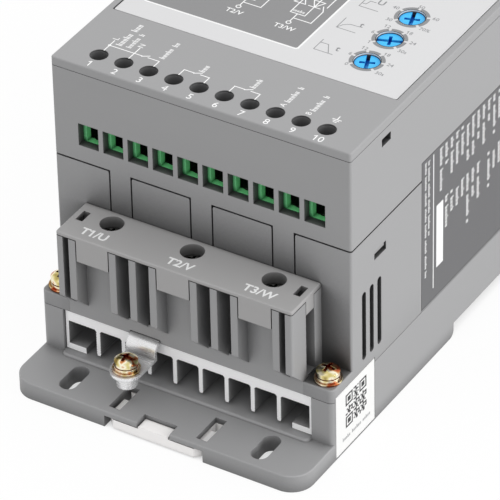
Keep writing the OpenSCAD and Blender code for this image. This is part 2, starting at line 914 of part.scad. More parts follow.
module middle_housing() {
    color(grey_case) difference() {
        union() {
            housing_shell();
            board_posts();
        }
        both_ends() {
            block_gap();
            busbar_slots();
            leg_notches();
            vents();
            snap_windows();
        }
        for (x = phase_x)
            translate([x, 0, base_h - over]) linear_extrude(housing_floor_t + 2 * over)
                square([module_w + 2 * fit, module_l + 2 * fit], center = true);
        at_pad_screws() translate([0, 0, base_h - over]) cylinder(d = screw_hole_d, h = skirt_t + 2 * over);
        board_pin_bores();
        shadow_line(foot_len, foot_r, base_h);
        label_pocket();
        sticker_pocket();
    }
}

// Top cover

module cover_legs() {
    for (x = phase_x) translate([x, 0, 0])
        span([-leg_w / 2, leg_w / 2], [-wall_t, 0], [leg_z, seam_z + over]);
}

// Snap tongue behind the housing wall, with its hook in the snap window
module snap_tongue() {
    outer = inner_w / 2 - fit;
    y = [-snap_y - snap_w / 2 + 2 * fit, -snap_y + snap_w / 2 - 2 * fit];
    span([outer - tongue_t, outer], y, [snap_z - tongue_t, sill_z]);
    span([outer - tongue_t, inner_w / 2 + weld], y, [seam_z + seam_gap, sill_z]);
    span([outer - weld, half_w - 2 * fit], y, [snap_z + snap_h / 2, snap_z + snap_h - fit]);
}

// Screwdriver holes, with the front face thinned from below along their row
module driver_holes() {
    for (x = way_x) translate([x, -driver_in, lid_z - over]) cylinder(d = driver_d, h = lid_t + 2 * over);
    span([-green_w / 2, green_w / 2], [-driver_in - relief_l, -wall_t],
        [lid_z - over, body_h - driver_lid_t]);
}

module front_bosses() {
    for (x = [-1, 1], y = [-1, 1])
        translate([x * front_boss[0], y * front_boss[1], front_board_top])
            cylinder(d = front_boss_d, h = lid_z - front_board_top + weld);
}

module front_boss_bores() {
    for (x = [-1, 1], y = [-1, 1])
        translate([x * front_boss[0], y * front_boss[1], front_board_top - over])
            cylinder(d = small_screw_d + 2 * fit, h = lid_z - front_board_top + over);
}

module wire_windows() {
    for (x = way_x) translate([x, 0, 0])
        span([-wire_w / 2, wire_w / 2], [-wall_t - over, over], [sill_z, sill_z + wire_h]);
}

module rim_windows() {
    translate([0, -rim_window_y, body_h - rim_window_drop])
        cube([body_w + over, rim_window[0], rim_window[1]], center = true);
}

module at_dials() {
    for (y = dial_y) translate([dial_x, y, 0]) children();
}

module cover_shell() {
    bottom = seam_z + seam_gap / 2;
    difference() {
        translate([0, 0, bottom]) eased_plate(body_w, body_l, body_h - bottom, corner_r, edge_r);
        translate([0, 0, bottom - over])
            linear_extrude(lid_z - bottom + over) rounded_rect(inner_w, inner_l, inner_r);
    }
}

module top_cover() {
    color(grey_case) difference() {
        union() {
            cover_shell();
            both_ends() {
                cover_legs();
                both_sides() snap_tongue();
            }
            front_bosses();
        }
        at_end(true) {
            wire_windows();
            driver_holes();
        }
        both_ends() rim_windows();
        shadow_line(body_l, corner_r, body_h - line_drop);
        translate([0, 0, overlay_z]) linear_extrude(overlay_t + over)
            rounded_rect(overlay_w + 2 * overlay_gap, overlay_l + 2 * overlay_gap, overlay_r);
        at_dials() translate([0, 0, lid_z - over]) cylinder(d = dial_hole_d, h = lid_t + 2 * over);
        front_boss_bores();
        label_pocket();
    }
}

// Terminal cover of one end

module tcover_skirts() {
    half = bay_w / 2 - 1.5 * fit;
    for (x = phase_x) translate([x, 0, 0])
        span([-half, half], [rib_reach - tcover_skirt_t, rib_reach],
            [block_z - tcover_drop, block_z + tcover_gap + weld]);
}

module tcover_hooks() {
    both_sides() span([block_w / 2 - tcover_skirt_t, block_w / 2],
        [side_groove[0] + fit, side_groove[1] - fit],
        [block_z - tcover_hook_drop, block_z + tcover_gap + weld]);
}

// Short tubes under the access holes, kept inside the clamp chambers
module access_collars() {
    half = chamber_w / 2 - fit;
    for (x = phase_x) translate([x, 0, block_z - collar_drop]) intersection() {
        translate([0, access_reach, 0]) cylinder(d = access_d + 2 * collar_wall, h = collar_drop + weld);
        span([-half, half], [fit, foot_reach - front_wall_t - fit], [0, collar_drop + weld]);
    }
}

// Cover plate with a straight edge along the housing and a shadow gap above the ribs
module tcover_plate() {
    half = block_w / 2 - tcover_gap;
    intersection() {
        translate([0, 0, block_z]) eased_plate(block_w, 2 * rib_reach, tcover_t, corner_r, edge_r);
        union() {
            span([-block_w, block_w], [fit, rib_reach + over], [block_z + tcover_gap, body_h]);
            span([-half, half], [fit, rib_reach - tcover_gap], [block_z - over, body_h]);
        }
    }
}

module terminal_cover() {
    color(grey_cover) difference() {
        union() {
            tcover_plate();
            tcover_skirts();
            tcover_hooks();
            access_collars();
        }
        for (x = phase_x) translate([x, access_reach, block_z - collar_drop - over])
            cylinder(d = access_d, h = collar_drop + tcover_t + 2 * over);
        both_sides() translate([block_w / 2 - latch_in, latch_reach, block_z - over])
            linear_extrude(tcover_t + 2 * over) square([latch_w, latch_l], center = true);
    }
}

module output_terminal_cover() {
    at_end(true) terminal_cover();
}

module line_terminal_cover() {
    at_end(false) terminal_cover();
}

// Power clamps, screws and busbars of one end

module clamp_cages() {
    color(bright_metal) for (x = phase_x) translate([x, cage_in, cage_z]) difference() {
        along_x([-cage_w / 2, cage_w / 2]) square([cage_l, cage_h]);
        span([-cage_gap[0] / 2, cage_gap[0] / 2], [-over, cage_l + over], [cage_t, cage_h - cage_t]);
        translate([0, cage_l / 2, cage_h - cage_t - over])
            cylinder(d = clamp_shank_d + 2 * fit, h = 2 * over + cage_t);
    }
}

module clamp_screws() {
    color(bright_metal) for (x = phase_x) translate([x, access_reach, cage_z + cage_h])
        pan_screw(clamp_shank_d, cage_t, clamp_head_d, clamp_head_h);
}

module busbars() {
    color(copper_red) for (x = phase_x) translate([x, 0, bus_z]) difference() {
        span([-bus_w / 2, bus_w / 2], [bus_end - half_l, cage_in + cage_l], [0, bus_t]);
        translate([0, terminal_y - half_l, -over]) cylinder(d = screw_hole_d, h = bus_t + 2 * over);
    }
}

module output_clamps() { at_end(true) clamp_cages(); }
module output_clamp_screws() { at_end(true) clamp_screws(); }
module output_busbars() { at_end(true) busbars(); }
module line_clamps() { at_end(false) clamp_cages(); }
module line_clamp_screws() { at_end(false) clamp_screws(); }
module line_busbars() { at_end(false) busbars(); }

// Films and labels

module front_overlay() {
    color(white_film) difference() {
        translate([0, 0, overlay_z]) linear_extrude(overlay_t)
            rounded_rect(overlay_w, overlay_l, overlay_r);
        at_dials() translate([0, 0, overlay_z - over])
            cylinder(d = dial_hole_d, h = overlay_t + 2 * over);
    }
}

module rating_label() {
    color(dark_film)
        span([half_w - label_t, half_w], [-label_l / 2, label_l / 2], [label_z, label_z + label_h]);
}

module code_sticker() {
    color(white_film) at_end(true) span([half_w - label_t, half_w],
        [foot_reach - sticker_in - sticker_l, foot_reach - sticker_in],
        [base_h + sticker_rise - sticker_h, base_h + sticker_rise]);
}

// Control terminals

// Places children at each control way, on the screw axis and on the board
module at_ways() {
    at_end(true) for (x = way_x) translate([x, -driver_in, control_top]) children();
}

module control_terminal_block() {
    pocket_w = clamp_w + 1.5 * fit;
    pocket_l = clamp_l + 1.5 * fit;
    pocket_h = clamp_rise + clamp_h + fit;
    color(green_plastic) difference() {
        at_end(true) span([-green_w / 2, green_w / 2], [-green_in - green_l, -green_in],
            [control_top, control_top + green_h]);
        at_ways() {
            span([-pocket_w / 2, pocket_w / 2], [-pocket_l / 2, pocket_l / 2], [-over, pocket_h]);
            span([-clamp_slot[0] / 2, clamp_slot[0] / 2], [-wire_tail, driver_in],
                [clamp_rise + clamp_sill, clamp_rise + clamp_sill + clamp_slot[1]]);
            cylinder(d = green_bore_d, h = green_h + over);
        }
    }
}

// Tubes that lead a screwdriver from the front face to the clamp screws, joined by a strip
module driver_guides() {
    ceiling = body_h - driver_lid_t;
    color(dark_grey) difference() {
        union() {
            at_end(true) span([-green_w / 2 + fit, green_w / 2 - fit],
                [-driver_in - relief_l + fit, -wall_t - fit], [lid_z, ceiling]);
            at_ways() translate([0, 0, green_h])
                cylinder(d = guide_d + 2 * guide_wall, h = ceiling - control_top - green_h - weld);
        }
        at_ways() cylinder(d = guide_d, h = body_h);
    }
}

module control_clamps() {
    color(bright_metal) at_ways() difference() {
        span([-clamp_w / 2, clamp_w / 2], [-clamp_l / 2, clamp_l / 2], [0, clamp_rise + clamp_h]);
        span([-clamp_slot[0] / 2, clamp_slot[0] / 2], [-clamp_l, clamp_l],
            [clamp_rise + clamp_sill, clamp_rise + clamp_sill + clamp_slot[1]]);
        translate([0, 0, clamp_rise + clamp_h - clamp_sill - over])
            cylinder(d = control_shank_d + 2 * fit, h = clamp_sill + 2 * over);
    }
}

module control_clamp_screws() {
    color(bright_metal) at_ways() translate([0, 0, clamp_rise + clamp_h])
        pan_screw(control_shank_d, clamp_sill, control_head_d, control_head_h);
}

// Setting dials

module dial(i) {
    seat = front_board_top + trimmer_floor + fit;
    color(blue_dial) translate([dial_x, dial_y[i], 0]) rotate(dial_angle[i]) difference() {
        translate([0, 0, seat]) cylinder(d = dial_d, h = dial_top - seat);
        translate([0, 0, dial_top]) {
            cube([dial_d + over, dial_slot_w, 2 * dial_slot_d], center = true);
            cube([dial_cross_w, dial_slot_l, 2 * dial_slot_d], center = true);
        }
    }
}

module ramp_down_dial() { dial(0); }
module ramp_up_dial() { dial(1); }
module start_voltage_dial() { dial(2); }

module trimmer_bodies() {
    color(bright_metal) at_dials() difference() {
        translate([0, 0, front_board_top]) linear_extrude(trimmer_top - front_board_top)
            square(trimmer_w, center = true);
        translate([0, 0, front_board_top + trimmer_floor]) cylinder(d = dial_hole_d, h = body_h);
    }
}

// Boards and power electronics

module front_board() {
    color(board_green) difference() {
        translate([0, 0, front_board_z]) linear_extrude(board_t)
            square([front_board_w, front_board_l], center = true);
        for (x = [-1, 1], y = [-1, 1])
            translate([x * front_boss[0], y * front_boss[1], front_board_z - over])
                cylinder(d = small_screw_d + 2 * fit, h = board_t + 2 * over);
    }
}

module front_board_screws() {
    color(bright_metal) for (x = [-1, 1], y = [-1, 1])
        translate([x * front_boss[0], y * front_boss[1], front_board_z]) mirror([0, 0, 1])
            pan_screw(small_screw_d, small_screw_l, small_head_d, small_head_h);
}

module board_header() {
    color(black_plastic) translate([0, header_y, control_top])
        linear_extrude(front_board_z - control_top) square([header_w, header_l], center = true);
}

module control_board() {
    color(board_green) difference() {
        translate([0, 0, control_z]) linear_extrude(board_t)
            square([control_board_w, inner_l - 2 * fit], center = true);
        for (x = [-1, 1], y = [-1, 1])
            translate([x * board_pin[0], y * board_pin[1], control_z - over])
                cylinder(d = small_screw_d + 2 * fit, h = board_t + 2 * over);
    }
}

module control_board_screws() {
    color(bright_metal) for (x = [-1, 1], y = [-1, 1])
        translate([x * board_pin[0], y * board_pin[1], control_top])
            pan_screw(small_screw_d, small_screw_l, small_head_d, small_head_h);
}

module power_board() {
    color(board_green) difference() {
        translate([0, 0, power_z]) linear_extrude(board_t)
            square([power_board_w, power_board_l], center = true);
        for (x = [-1, 1], y = [-1, 1])
            translate([x * board_pin[0], y * board_pin[1], power_z - over])
                cylinder(d = board_pin_d + 2 * fit, h = board_t + 2 * over);
    }
}

// Case with screw ears and two terminal posts that carry the busbars
module thyristor_module(i) {
    color(black_plastic) translate([phase_x[i], 0, base_h]) difference() {
        union() {
            linear_extrude(module_ear_t) square([module_w, module_l], center = true);
            linear_extrude(module_h) square([module_w, module_body_l], center = true);
            for (s = [-1, 1]) translate([0, s * terminal_y, 0])
                cylinder(d = module_post_d, h = bus_z - base_h);
        }
        for (s = [-1, 1]) {
            translate([0, s * module_hole_y, -over]) cylinder(d = screw_hole_d, h = module_ear_t + 2 * over);
            translate([0, s * terminal_y, module_ear_t]) cylinder(d = screw_hole_d, h = bus_z);
        }
    }
}

module thyristor_module_u() { thyristor_module(0); }
module thyristor_module_v() { thyristor_module(1); }
module thyristor_module_w() { thyristor_module(2); }

module module_screws() {
    color(bright_metal) at_module_screws() translate([0, 0, base_h + module_ear_t])
        pan_screw(screw_d, module_ear_t + plate_t - fit, head_d, head_h);
}

module busbar_screws() {
    color(bright_metal) for (x = phase_x, s = [-1, 1]) translate([x, s * terminal_y, bus_z + bus_t])
        pan_screw(screw_d, module_h / 2, head_d, small_head_h);
}

module bypass_relay(i) {
    color(black_plastic) translate([phase_x[i], 0, power_top])
        linear_extrude(relay_h) rounded_rect(relay_w, relay_l, corner_r);
}

module bypass_relay_u() { bypass_relay(0); }
module bypass_relay_v() { bypass_relay(1); }
module bypass_relay_w() { bypass_relay(2); }

// Earth terminal

// Side view of the strap: on the heatsink, over its edge and down to the tongue
module strap_profile_2d() {
    translate([over, base_h]) square([bend_reach - over, strap_t]);
    translate([bend_reach, strap_top - strap_r]) intersection() {
        difference() {
            circle(strap_r);
            circle(strap_r - strap_t);
        }
        square(strap_r);
    }
    translate([strap_front - strap_t, tongue_base]) square([strap_t, strap_top - strap_r - tongue_base]);
}

module earth_strap() {
    color(bright_metal) at_end(true) difference() {
        union() {
            along_x([strap_x - strap_w / 2, strap_x + strap_w / 2]) strap_profile_2d();
            translate([strap_x, 0, tongue_base]) linear_extrude(strap_t) {
                translate([-strap_w / 2, strap_front - strap_t])
                    square([strap_w, earth_reach - strap_front + strap_t]);
                translate([0, earth_reach]) circle(d = strap_w);
            }
        }
        translate([strap_x, earth_reach, tongue_base - over])
            cylinder(d = screw_hole_d, h = strap_t + 2 * over);
    }
}

module at_earth_screw(z) {
    at_end(true) translate([strap_x, earth_reach, z]) children();
}

module earth_nut() {
    color(bright_metal) at_earth_screw(tongue_base - earth_nut_h) difference() {
        cylinder(d1 = earth_nut_d[0], d2 = earth_nut_d[1], h = earth_nut_h);
        translate([0, 0, -over]) cylinder(d = screw_hole_d, h = earth_nut_h + 2 * over);
    }
}

module earth_flat_washer() {
    color(zinc_yellow) at_earth_screw(tongue_z) flat_washer();
}

module earth_spring_washer() {
    color(zinc_yellow) at_earth_screw(tongue_z + washer_t) spring_washer();
}

module earth_screw() {
    length = washer_t + spring_t + strap_t + earth_nut_h;
    color(zinc_yellow) at_earth_screw(earth_head_z) pan_screw(screw_d, length, head_d, head_h);
}

// Housing screws on the corner pads

module housing_flat_washers() {
    color(zinc_yellow) at_pad_screws() translate([0, 0, pad_z]) flat_washer();
}

module housing_spring_washers() {
    color(zinc_yellow) at_pad_screws() translate([0, 0, pad_z + washer_t]) spring_washer();
}

module housing_screws() {
    color(zinc_yellow) at_pad_screws() translate([0, 0, pad_z + washer_t + spring_t])
        pan_screw(screw_d, housing_screw_l, head_d, head_h);
}

base_tray();
heatsink();
middle_housing();
output_terminal_block();
line_terminal_block();
top_cover();
output_terminal_cover();
line_terminal_cover();
front_overlay();
rating_label();
code_sticker();
control_terminal_block();
control_clamps();
control_clamp_screws();
driver_guides();
ramp_down_dial();
ramp_up_dial();
start_voltage_dial();
trimmer_bodies();
front_board();
front_board_screws();
board_header();
control_board();
control_board_screws();
power_board();
thyristor_module_u();
thyristor_module_v();
thyristor_module_w();
module_screws();
bypass_relay_u();
bypass_relay_v();
bypass_relay_w();
output_busbars();
line_busbars();
busbar_screws();
output_clamps();
output_clamp_screws();
line_clamps();
line_clamp_screws();
earth_strap();
earth_nut();
earth_flat_washer();
earth_spring_washer();
earth_screw();
housing_flat_washers();
housing_spring_washers();
housing_screws();
rail_clip();
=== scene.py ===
# %% [markdown]
# # A three-phase soft starter
# This lesson dresses a finished CAD model of a soft starter, the box that lets an electric motor
# run up gently. The shapes come from the CAD frame and stay where they are. Blender gives them
# their plastics, metals and printed marks, a camera and soft studio light.

# %% Load the CAD frame
import json
import math

import bmesh
import bpy
from mathutils import Matrix, Vector


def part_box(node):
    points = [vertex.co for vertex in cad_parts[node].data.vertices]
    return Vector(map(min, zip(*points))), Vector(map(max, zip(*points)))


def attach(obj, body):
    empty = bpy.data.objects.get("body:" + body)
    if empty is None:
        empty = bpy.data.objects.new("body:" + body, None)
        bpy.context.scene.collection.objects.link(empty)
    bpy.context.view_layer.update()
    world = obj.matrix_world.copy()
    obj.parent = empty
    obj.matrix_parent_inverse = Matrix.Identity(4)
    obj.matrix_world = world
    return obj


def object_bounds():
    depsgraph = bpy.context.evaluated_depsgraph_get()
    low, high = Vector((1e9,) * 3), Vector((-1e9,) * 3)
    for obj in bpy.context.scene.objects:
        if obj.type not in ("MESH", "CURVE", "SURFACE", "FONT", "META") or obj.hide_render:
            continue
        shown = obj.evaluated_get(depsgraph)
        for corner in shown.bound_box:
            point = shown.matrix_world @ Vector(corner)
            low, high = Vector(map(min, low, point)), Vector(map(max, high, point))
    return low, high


MM = 0.001
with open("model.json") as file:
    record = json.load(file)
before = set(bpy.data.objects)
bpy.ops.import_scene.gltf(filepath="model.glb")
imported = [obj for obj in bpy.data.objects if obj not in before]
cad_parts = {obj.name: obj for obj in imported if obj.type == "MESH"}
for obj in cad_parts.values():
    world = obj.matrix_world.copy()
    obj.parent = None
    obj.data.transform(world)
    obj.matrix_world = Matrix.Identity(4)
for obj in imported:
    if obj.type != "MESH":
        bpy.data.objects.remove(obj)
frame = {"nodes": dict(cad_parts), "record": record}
cad_box = [list(corner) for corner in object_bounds()]
print("CAD nodes:", len(frame["nodes"]), "box in mm:", [[round(v / MM, 1) for v in c] for c in cad_box])

# %% [markdown]
# ## The camera
# A product shot of a small box is taken from far away with a long lens, so its edges run almost
# parallel. The view could be set by eye, but a camera made from its azimuth, elevation and roll can
# be written down exactly. The three axes of the camera are built as vectors and become the columns
# of its matrix.

# %% Camera from three angles and a distance
AZIMUTH, ELEVATION, ROLL = (math.radians(angle) for angle in (32.05, 36.04, -1.30))
DISTANCE = 1252 * MM
TARGET = Vector((0.45, -72, 45)) * MM
PAN = Vector((11.99, 1.15)) * MM
LENS, SENSOR = 345.8, 36

back = Vector((math.sin(AZIMUTH) * math.cos(ELEVATION), -math.cos(AZIMUTH) * math.cos(ELEVATION),
               math.sin(ELEVATION)))
level = Vector((math.cos(AZIMUTH), math.sin(AZIMUTH), 0))
upright = back.cross(level)
right = level * math.cos(ROLL) + upright * math.sin(ROLL)
up = upright * math.cos(ROLL) - level * math.sin(ROLL)

camera = bpy.data.objects.new("camera", bpy.data.cameras.new("camera"))
camera.data.lens = LENS
camera.data.sensor_width = SENSOR
camera.data.sensor_fit = "HORIZONTAL"
camera.data.clip_end = 20
camera.matrix_world = Matrix((right, up, back)).transposed().to_4x4()
camera.location = TARGET + back * DISTANCE + right * PAN.x + up * PAN.y
bpy.context.collection.objects.link(camera)
bpy.context.scene.camera = camera
print("camera at", [round(v, 3) for v in camera.location])

# %% [markdown]
# ## Sums with sockets
# A shader is a small computer made of nodes, and a formula such as 0.4 + 0.1 * noise takes two of
# them. Wiring each by hand hides the formula. One small class wraps an output socket, and Python's
# own operators on it add the Math nodes, so that a formula reads as it is meant. A bench holds one
# node tree, and its add method makes any other node: settings first, then values and links.

# %% A socket that does sums, and a bench for nodes
class Wire:
    """An output socket, on which arithmetic adds Math nodes."""

    def __init__(self, bench, socket):
        self.bench = bench
        self.socket = socket

    def sum(self, operation, first, second):
        return self.bench.add("ShaderNodeMath", {"operation": operation}, {0: first, 1: second})

    def __add__(self, other):
        return self.sum("ADD", self, other)

    def __sub__(self, other):
        return self.sum("SUBTRACT", self, other)

    def __rsub__(self, other):
        return self.sum("SUBTRACT", other, self)

    def __mul__(self, other):
        return self.sum("MULTIPLY", self, other)

    def __or__(self, other):
        return self.sum("MAXIMUM", self, other)

    __radd__ = __add__
    __rmul__ = __mul__


class Bench:
    """A node tree under construction."""

    def __init__(self, tree):
        self.tree = tree
        tree.nodes.clear()

    def add(self, kind, settings=None, sockets=None, out=0):
        node = self.tree.nodes.new(kind)
        for key, value in (settings or {}).items():
            if key == "stops":
                while len(node.color_ramp.elements) < len(value):
                    node.color_ramp.elements.new(1)
                for element, (place, colour) in zip(node.color_ramp.elements, value):
                    element.position = place
                    element.color = colour
            else:
                setattr(node, key, value)
        for key, value in (sockets or {}).items():
            if isinstance(value, Wire):
                self.tree.links.new(value.socket, node.inputs[key])
            else:
                node.inputs[key].default_value = value
        return Wire(self, node.outputs[out]) if node.outputs else node


print("socket class ready")

# %% [markdown]
# ## The studio
# The device stands on a white sweep inside a white light tent, and a softbox at its right lifts
# that side. A bare lamp would draw hard shadows and burn out the metal. A world of strength 1 acts
# as the tent: a surface that faces it shows its colour about as it is written. The floor is white to
# the camera and to reflections, but throws back only part of the light, so the lower faces go darker
# and the object's soft shadow stays. An Ambient Occlusion node tells how much of the tent a point
# sees. The floor in the slots of the flanges sees little of it, and is shaded by that share.

# %% White world
world = bpy.data.worlds.new("studio")
world.use_nodes = True
bpy.context.scene.world = world
sky = Bench(world.node_tree)
sky_shade = sky.add("ShaderNodeBackground", None, {"Color": (1, 1, 1, 1), "Strength": 1})
sky.add("ShaderNodeOutputWorld", None, {"Surface": sky_shade})
bpy.context.scene.view_settings.view_transform = "Standard"
print("world", world.name)

# %% Pale floor that keeps the shadow
FLOOR_DROP = 0.1 * MM
FLOOR_SIZE = 6
FLOOR_GLOW = 0.93
SLOT_REACH, SLOT_GAIN, SLOT_LEAST = 30 * MM, 1.2, 0.4
FLOOR_PAINT, FLOOR_WHITE = (0.45, 0.45, 0.45, 1), (0.95, 0.95, 0.95, 1)


def seen_directly(bench):
    path = [bench.add("ShaderNodeLightPath", out=name)
            for name in ("Is Camera Ray", "Is Glossy Ray", "Is Transmission Ray")]
    return path[0] | path[1] | path[2]


def occlusion(bench, reach):
    """The share of the surroundings that is open, as far as reach: 1 on a free face."""
    return bench.add("ShaderNodeAmbientOcclusion", {"samples": 8}, {"Distance": reach}, out="AO")


def new_material(name):
    material = bpy.data.materials.new(name)
    material.use_nodes = True
    return material, Bench(material.node_tree)


floor_paint, floor_bench = new_material("floor_paint")
matt, white = [floor_bench.add("ShaderNodeBsdfDiffuse", None, {"Color": tone})
               for tone in (FLOOR_PAINT, FLOOR_WHITE)]
glow = floor_bench.add("ShaderNodeEmission", None, {"Color": (1, 1, 1, 1), "Strength": 1})
sweep = floor_bench.add("ShaderNodeMixShader", None, {0: FLOOR_GLOW, 1: white, 2: glow})
lit_share = SLOT_GAIN * occlusion(floor_bench, SLOT_REACH) + SLOT_LEAST
seen = floor_bench.add("ShaderNodeMixShader", None, {0: lit_share, 1: white, 2: sweep})
floor_mix = floor_bench.add("ShaderNodeMixShader", None, {0: seen_directly(floor_bench), 1: matt, 2: seen})
floor_bench.add("ShaderNodeOutputMaterial", None, {"Surface": floor_mix})

bm = bmesh.new()
bmesh.ops.create_grid(bm, x_segments=1, y_segments=1, size=FLOOR_SIZE / 2)
bmesh.ops.translate(bm, verts=bm.verts, vec=(0, 0, cad_box[0][2] - FLOOR_DROP))
floor_mesh = bpy.data.meshes.new("floor")
bm.to_mesh(floor_mesh)
bm.free()
floor = bpy.data.objects.new("floor", floor_mesh)
floor_mesh.materials.append(floor_paint)
bpy.context.collection.objects.link(floor)
print("floor", FLOOR_SIZE, "m wide")

# %% One large softbox
KEY_FROM = Vector((0.95, 0.12, 0.28))
KEY_AIM = Vector((0, -0.03, 0.05))
KEY_DISTANCE = 1.1
KEY_SIZE = 0.8
KEY_POWER = 5.6

key = bpy.data.objects.new("softbox", bpy.data.lights.new("softbox", "AREA"))
key.data.shape = "DISK"
key.data.size = KEY_SIZE
key.data.energy = KEY_POWER
key.location = KEY_FROM.normalized() * KEY_DISTANCE + KEY_AIM
key.rotation_euler = KEY_FROM.to_track_quat("Z", "Y").to_euler()
bpy.context.collection.objects.link(key)
print("softbox power", KEY_POWER, "W")

# %% [markdown]
# ## Tones and surroundings
# A finish on a real device isn't one colour: it drifts from place to place. Seams, slots and grooves
# here also get painted shade, a deeper tone than open faces; painting it by hand would not follow
# the shape. A few helpers make tone and shade from nodes: a colour as a screen shows it, a noise of
# a given size in metres, a mix of two colours, how open a place is, and which way a face looks.

# %% Colour and noise
def srgb(red, green, blue):
    """A colour as a screen shows it, from 0 to 255, in the linear values that shaders use."""
    return tuple(((v / 255 + 0.055) / 1.055) ** 2.4 if v > 10 else v / 3294
                 for v in (red, green, blue)) + (1,)


def shade(colour, factor):
    return tuple(min(1, v * factor) for v in colour[:3]) + (1,)


def noise(bench, place, size, detail=2):
    """Noise from 0 to 1 whose blobs are about size metres wide."""
    return bench.add("ShaderNodeTexNoise", None, {"Vector": place, "Scale": 1 / size, "Detail": detail})


def mix_colour(bench, factor, first, second):
    return bench.add("ShaderNodeMix", {"data_type": "RGBA"}, {0: factor, 6: first, 7: second}, out=2)


print("a mid grey is", round(srgb(128, 128, 128)[0], 3), "in linear values")

# %% Openness and direction
OPEN_GAIN, OPEN_LOSS = 1.6, 0.45


def openness(bench, reach):
    """1 on open faces, falling to 0 in seams and grooves; it sets how much painted shade a place gets."""
    return OPEN_GAIN * occlusion(bench, reach) - OPEN_LOSS


def facing(bench, axis):
    """1 on faces square to an axis, falling to 0 on faces that run along it."""
    normal = bench.add("ShaderNodeTexCoord", out="Normal")
    share = bench.add("ShaderNodeSeparateXYZ", None, {0: normal}, out=axis)
    return share * share


def close_shader(bench, sockets):
    shader = bench.add("ShaderNodeBsdfPrincipled", None, sockets)
    bench.add("ShaderNodeOutputMaterial", None, {"Surface": shader})


print("a face in a right-angled corner is", round(OPEN_GAIN * 0.5 - OPEN_LOSS, 2), "open")

# %% [markdown]
# ## Moulded plastics
# The case is a satin thermoplastic. Its tool was spark-eroded, so the skin has a fine grain, and
# its edges are slightly round because sharp ones can't be moulded. A flat grey would look like
# paper. A noise of a third of a millimetre makes the grain as a bump, a slow noise shifts tone and
# gloss a little from place to place, and a Bevel node bends the normal at edges so that they catch
# light. Places that aren't open get painted shade. Upright walls of the terminal covers look
# further, so their screw holes get painted shade, and the front faces of the case's end walls get
# painted shade that deepens slowly towards these covers. A faint glow of painted light lifts dials,
# clip and green blocks; on dials and clip it stands for the light they let through.

# %% A plastic from colour, gloss and grain
CLOUD = 30 * MM


def plastic(name, colour, gloss=0.42, grain=0.35 * MM, depth=0.012 * MM, edge=0.25 * MM, drift=0.025,
            painted_shade=None, reach=6 * MM, upright_shade_reach=0.0, front_shade_reach=0.0, glow=0.0):
    material, bench = new_material(name)
    place = bench.add("ShaderNodeTexCoord", out="Object")
    cloud = noise(bench, place, CLOUD)
    skin = noise(bench, place, grain, 3)
    round_edge = bench.add("ShaderNodeBevel", {"samples": 6}, {"Radius": edge})
    bump = bench.add("ShaderNodeBump", None,
                     {"Strength": 0.5, "Distance": depth, "Height": skin, "Normal": round_edge})
    face = mix_colour(bench, cloud, shade(colour, 1 - drift), shade(colour, 1 + drift))
    # Painted shade: places that aren't open get a darker tone, more on upright walls and front faces.
    painted_shade = painted_shade or shade(colour, 0.3)
    tone = mix_colour(bench, openness(bench, reach), painted_shade, face)
    if upright_shade_reach:
        wall_shade = (1 - facing(bench, "Z")) * (1 - openness(bench, upright_shade_reach))
        tone = mix_colour(bench, wall_shade, tone, painted_shade)
    if front_shade_reach:
        wall_shade = facing(bench, "Y") * (1 - openness(bench, front_shade_reach))
        tone = mix_colour(bench, wall_shade, tone, painted_shade)
    close_shader(bench, {
        "Base Color": tone,
        "Roughness": gloss + 0.1 * cloud + 0.06 * skin,
        # Glow: painted light that lifts the tone where it is set
        "Emission Color": tone,
        "Emission Strength": glow,
        "Normal": bump,
    })
    return material


print("clouds of", round(CLOUD / MM), "mm")

# %% The plastics of the device
GREY = srgb(157, 157, 158)
# Same grey as the case, with painted shade that deepens towards the terminal covers
shaded_wall_grey = plastic("upright_grey_painted_shade", GREY, painted_shade=shade(GREY, 0.12), reach=34 * MM, front_shade_reach=24 * MM)
finishes = {
    "grey_case": plastic("case_grey_plastic", GREY),
    "top_cover": shaded_wall_grey,
    "middle_housing": shaded_wall_grey,
    "grey_cover": plastic("terminal_cover_plastic", srgb(168, 167, 167), gloss=0.46, reach=2 * MM,
                          upright_shade_reach=10 * MM),
    # Green blocks, dials and clip get a faint glow of painted light
    "green_plastic": plastic("terminal_green_plastic", srgb(132, 236, 160), gloss=0.38,
                             painted_shade=srgb(14, 74, 38), reach=1.6 * MM, glow=0.03),
    "blue_plastic": plastic("dial_blue_plastic", srgb(50, 180, 238), gloss=0.3, edge=0.1 * MM,
                            painted_shade=srgb(0, 54, 168), reach=1.5 * MM, glow=0.14),
    "clip": plastic("clip_white_nylon", srgb(250, 248, 247), gloss=0.4, reach=1.5 * MM, glow=0.1),
    "black_plastic": plastic("module_black_plastic", srgb(38, 38, 40), gloss=0.5),
    "guide": plastic("guide_dark_plastic", srgb(100, 100, 101), gloss=0.5, reach=0.2 * MM),
    "trimmer": plastic("trimmer_grey_plastic", srgb(196, 197, 199), gloss=0.35, edge=0.1 * MM),
}
print("plastics:", ", ".join(finishes))

# %% [markdown]
# ## Films and boards
# The front carries a printed polyester film with a fine matt emboss, the side a dark label, the
# foot a white paper-like sticker. They are thin sheets, so they have no rounded edge. The boards
# inside are green glass laminate whose weave shows faintly, made here with two crossed waves.

# %% Films and laminate
def film(name, colour, gloss, emboss, drift):
    material, bench = new_material(name)
    place = bench.add("ShaderNodeTexCoord", out="Object")
    cloud = noise(bench, place, 22 * MM)
    skin = noise(bench, place, emboss, 1)
    bump = bench.add("ShaderNodeBump", None, {"Strength": 0.3, "Distance": 0.01 * MM, "Height": skin})
    close_shader(bench, {
        "Base Color": mix_colour(bench, cloud, shade(colour, 1 - drift), shade(colour, 1 + drift)),
        "Roughness": gloss + 0.12 * skin,
        "Normal": bump,
    })
    return material


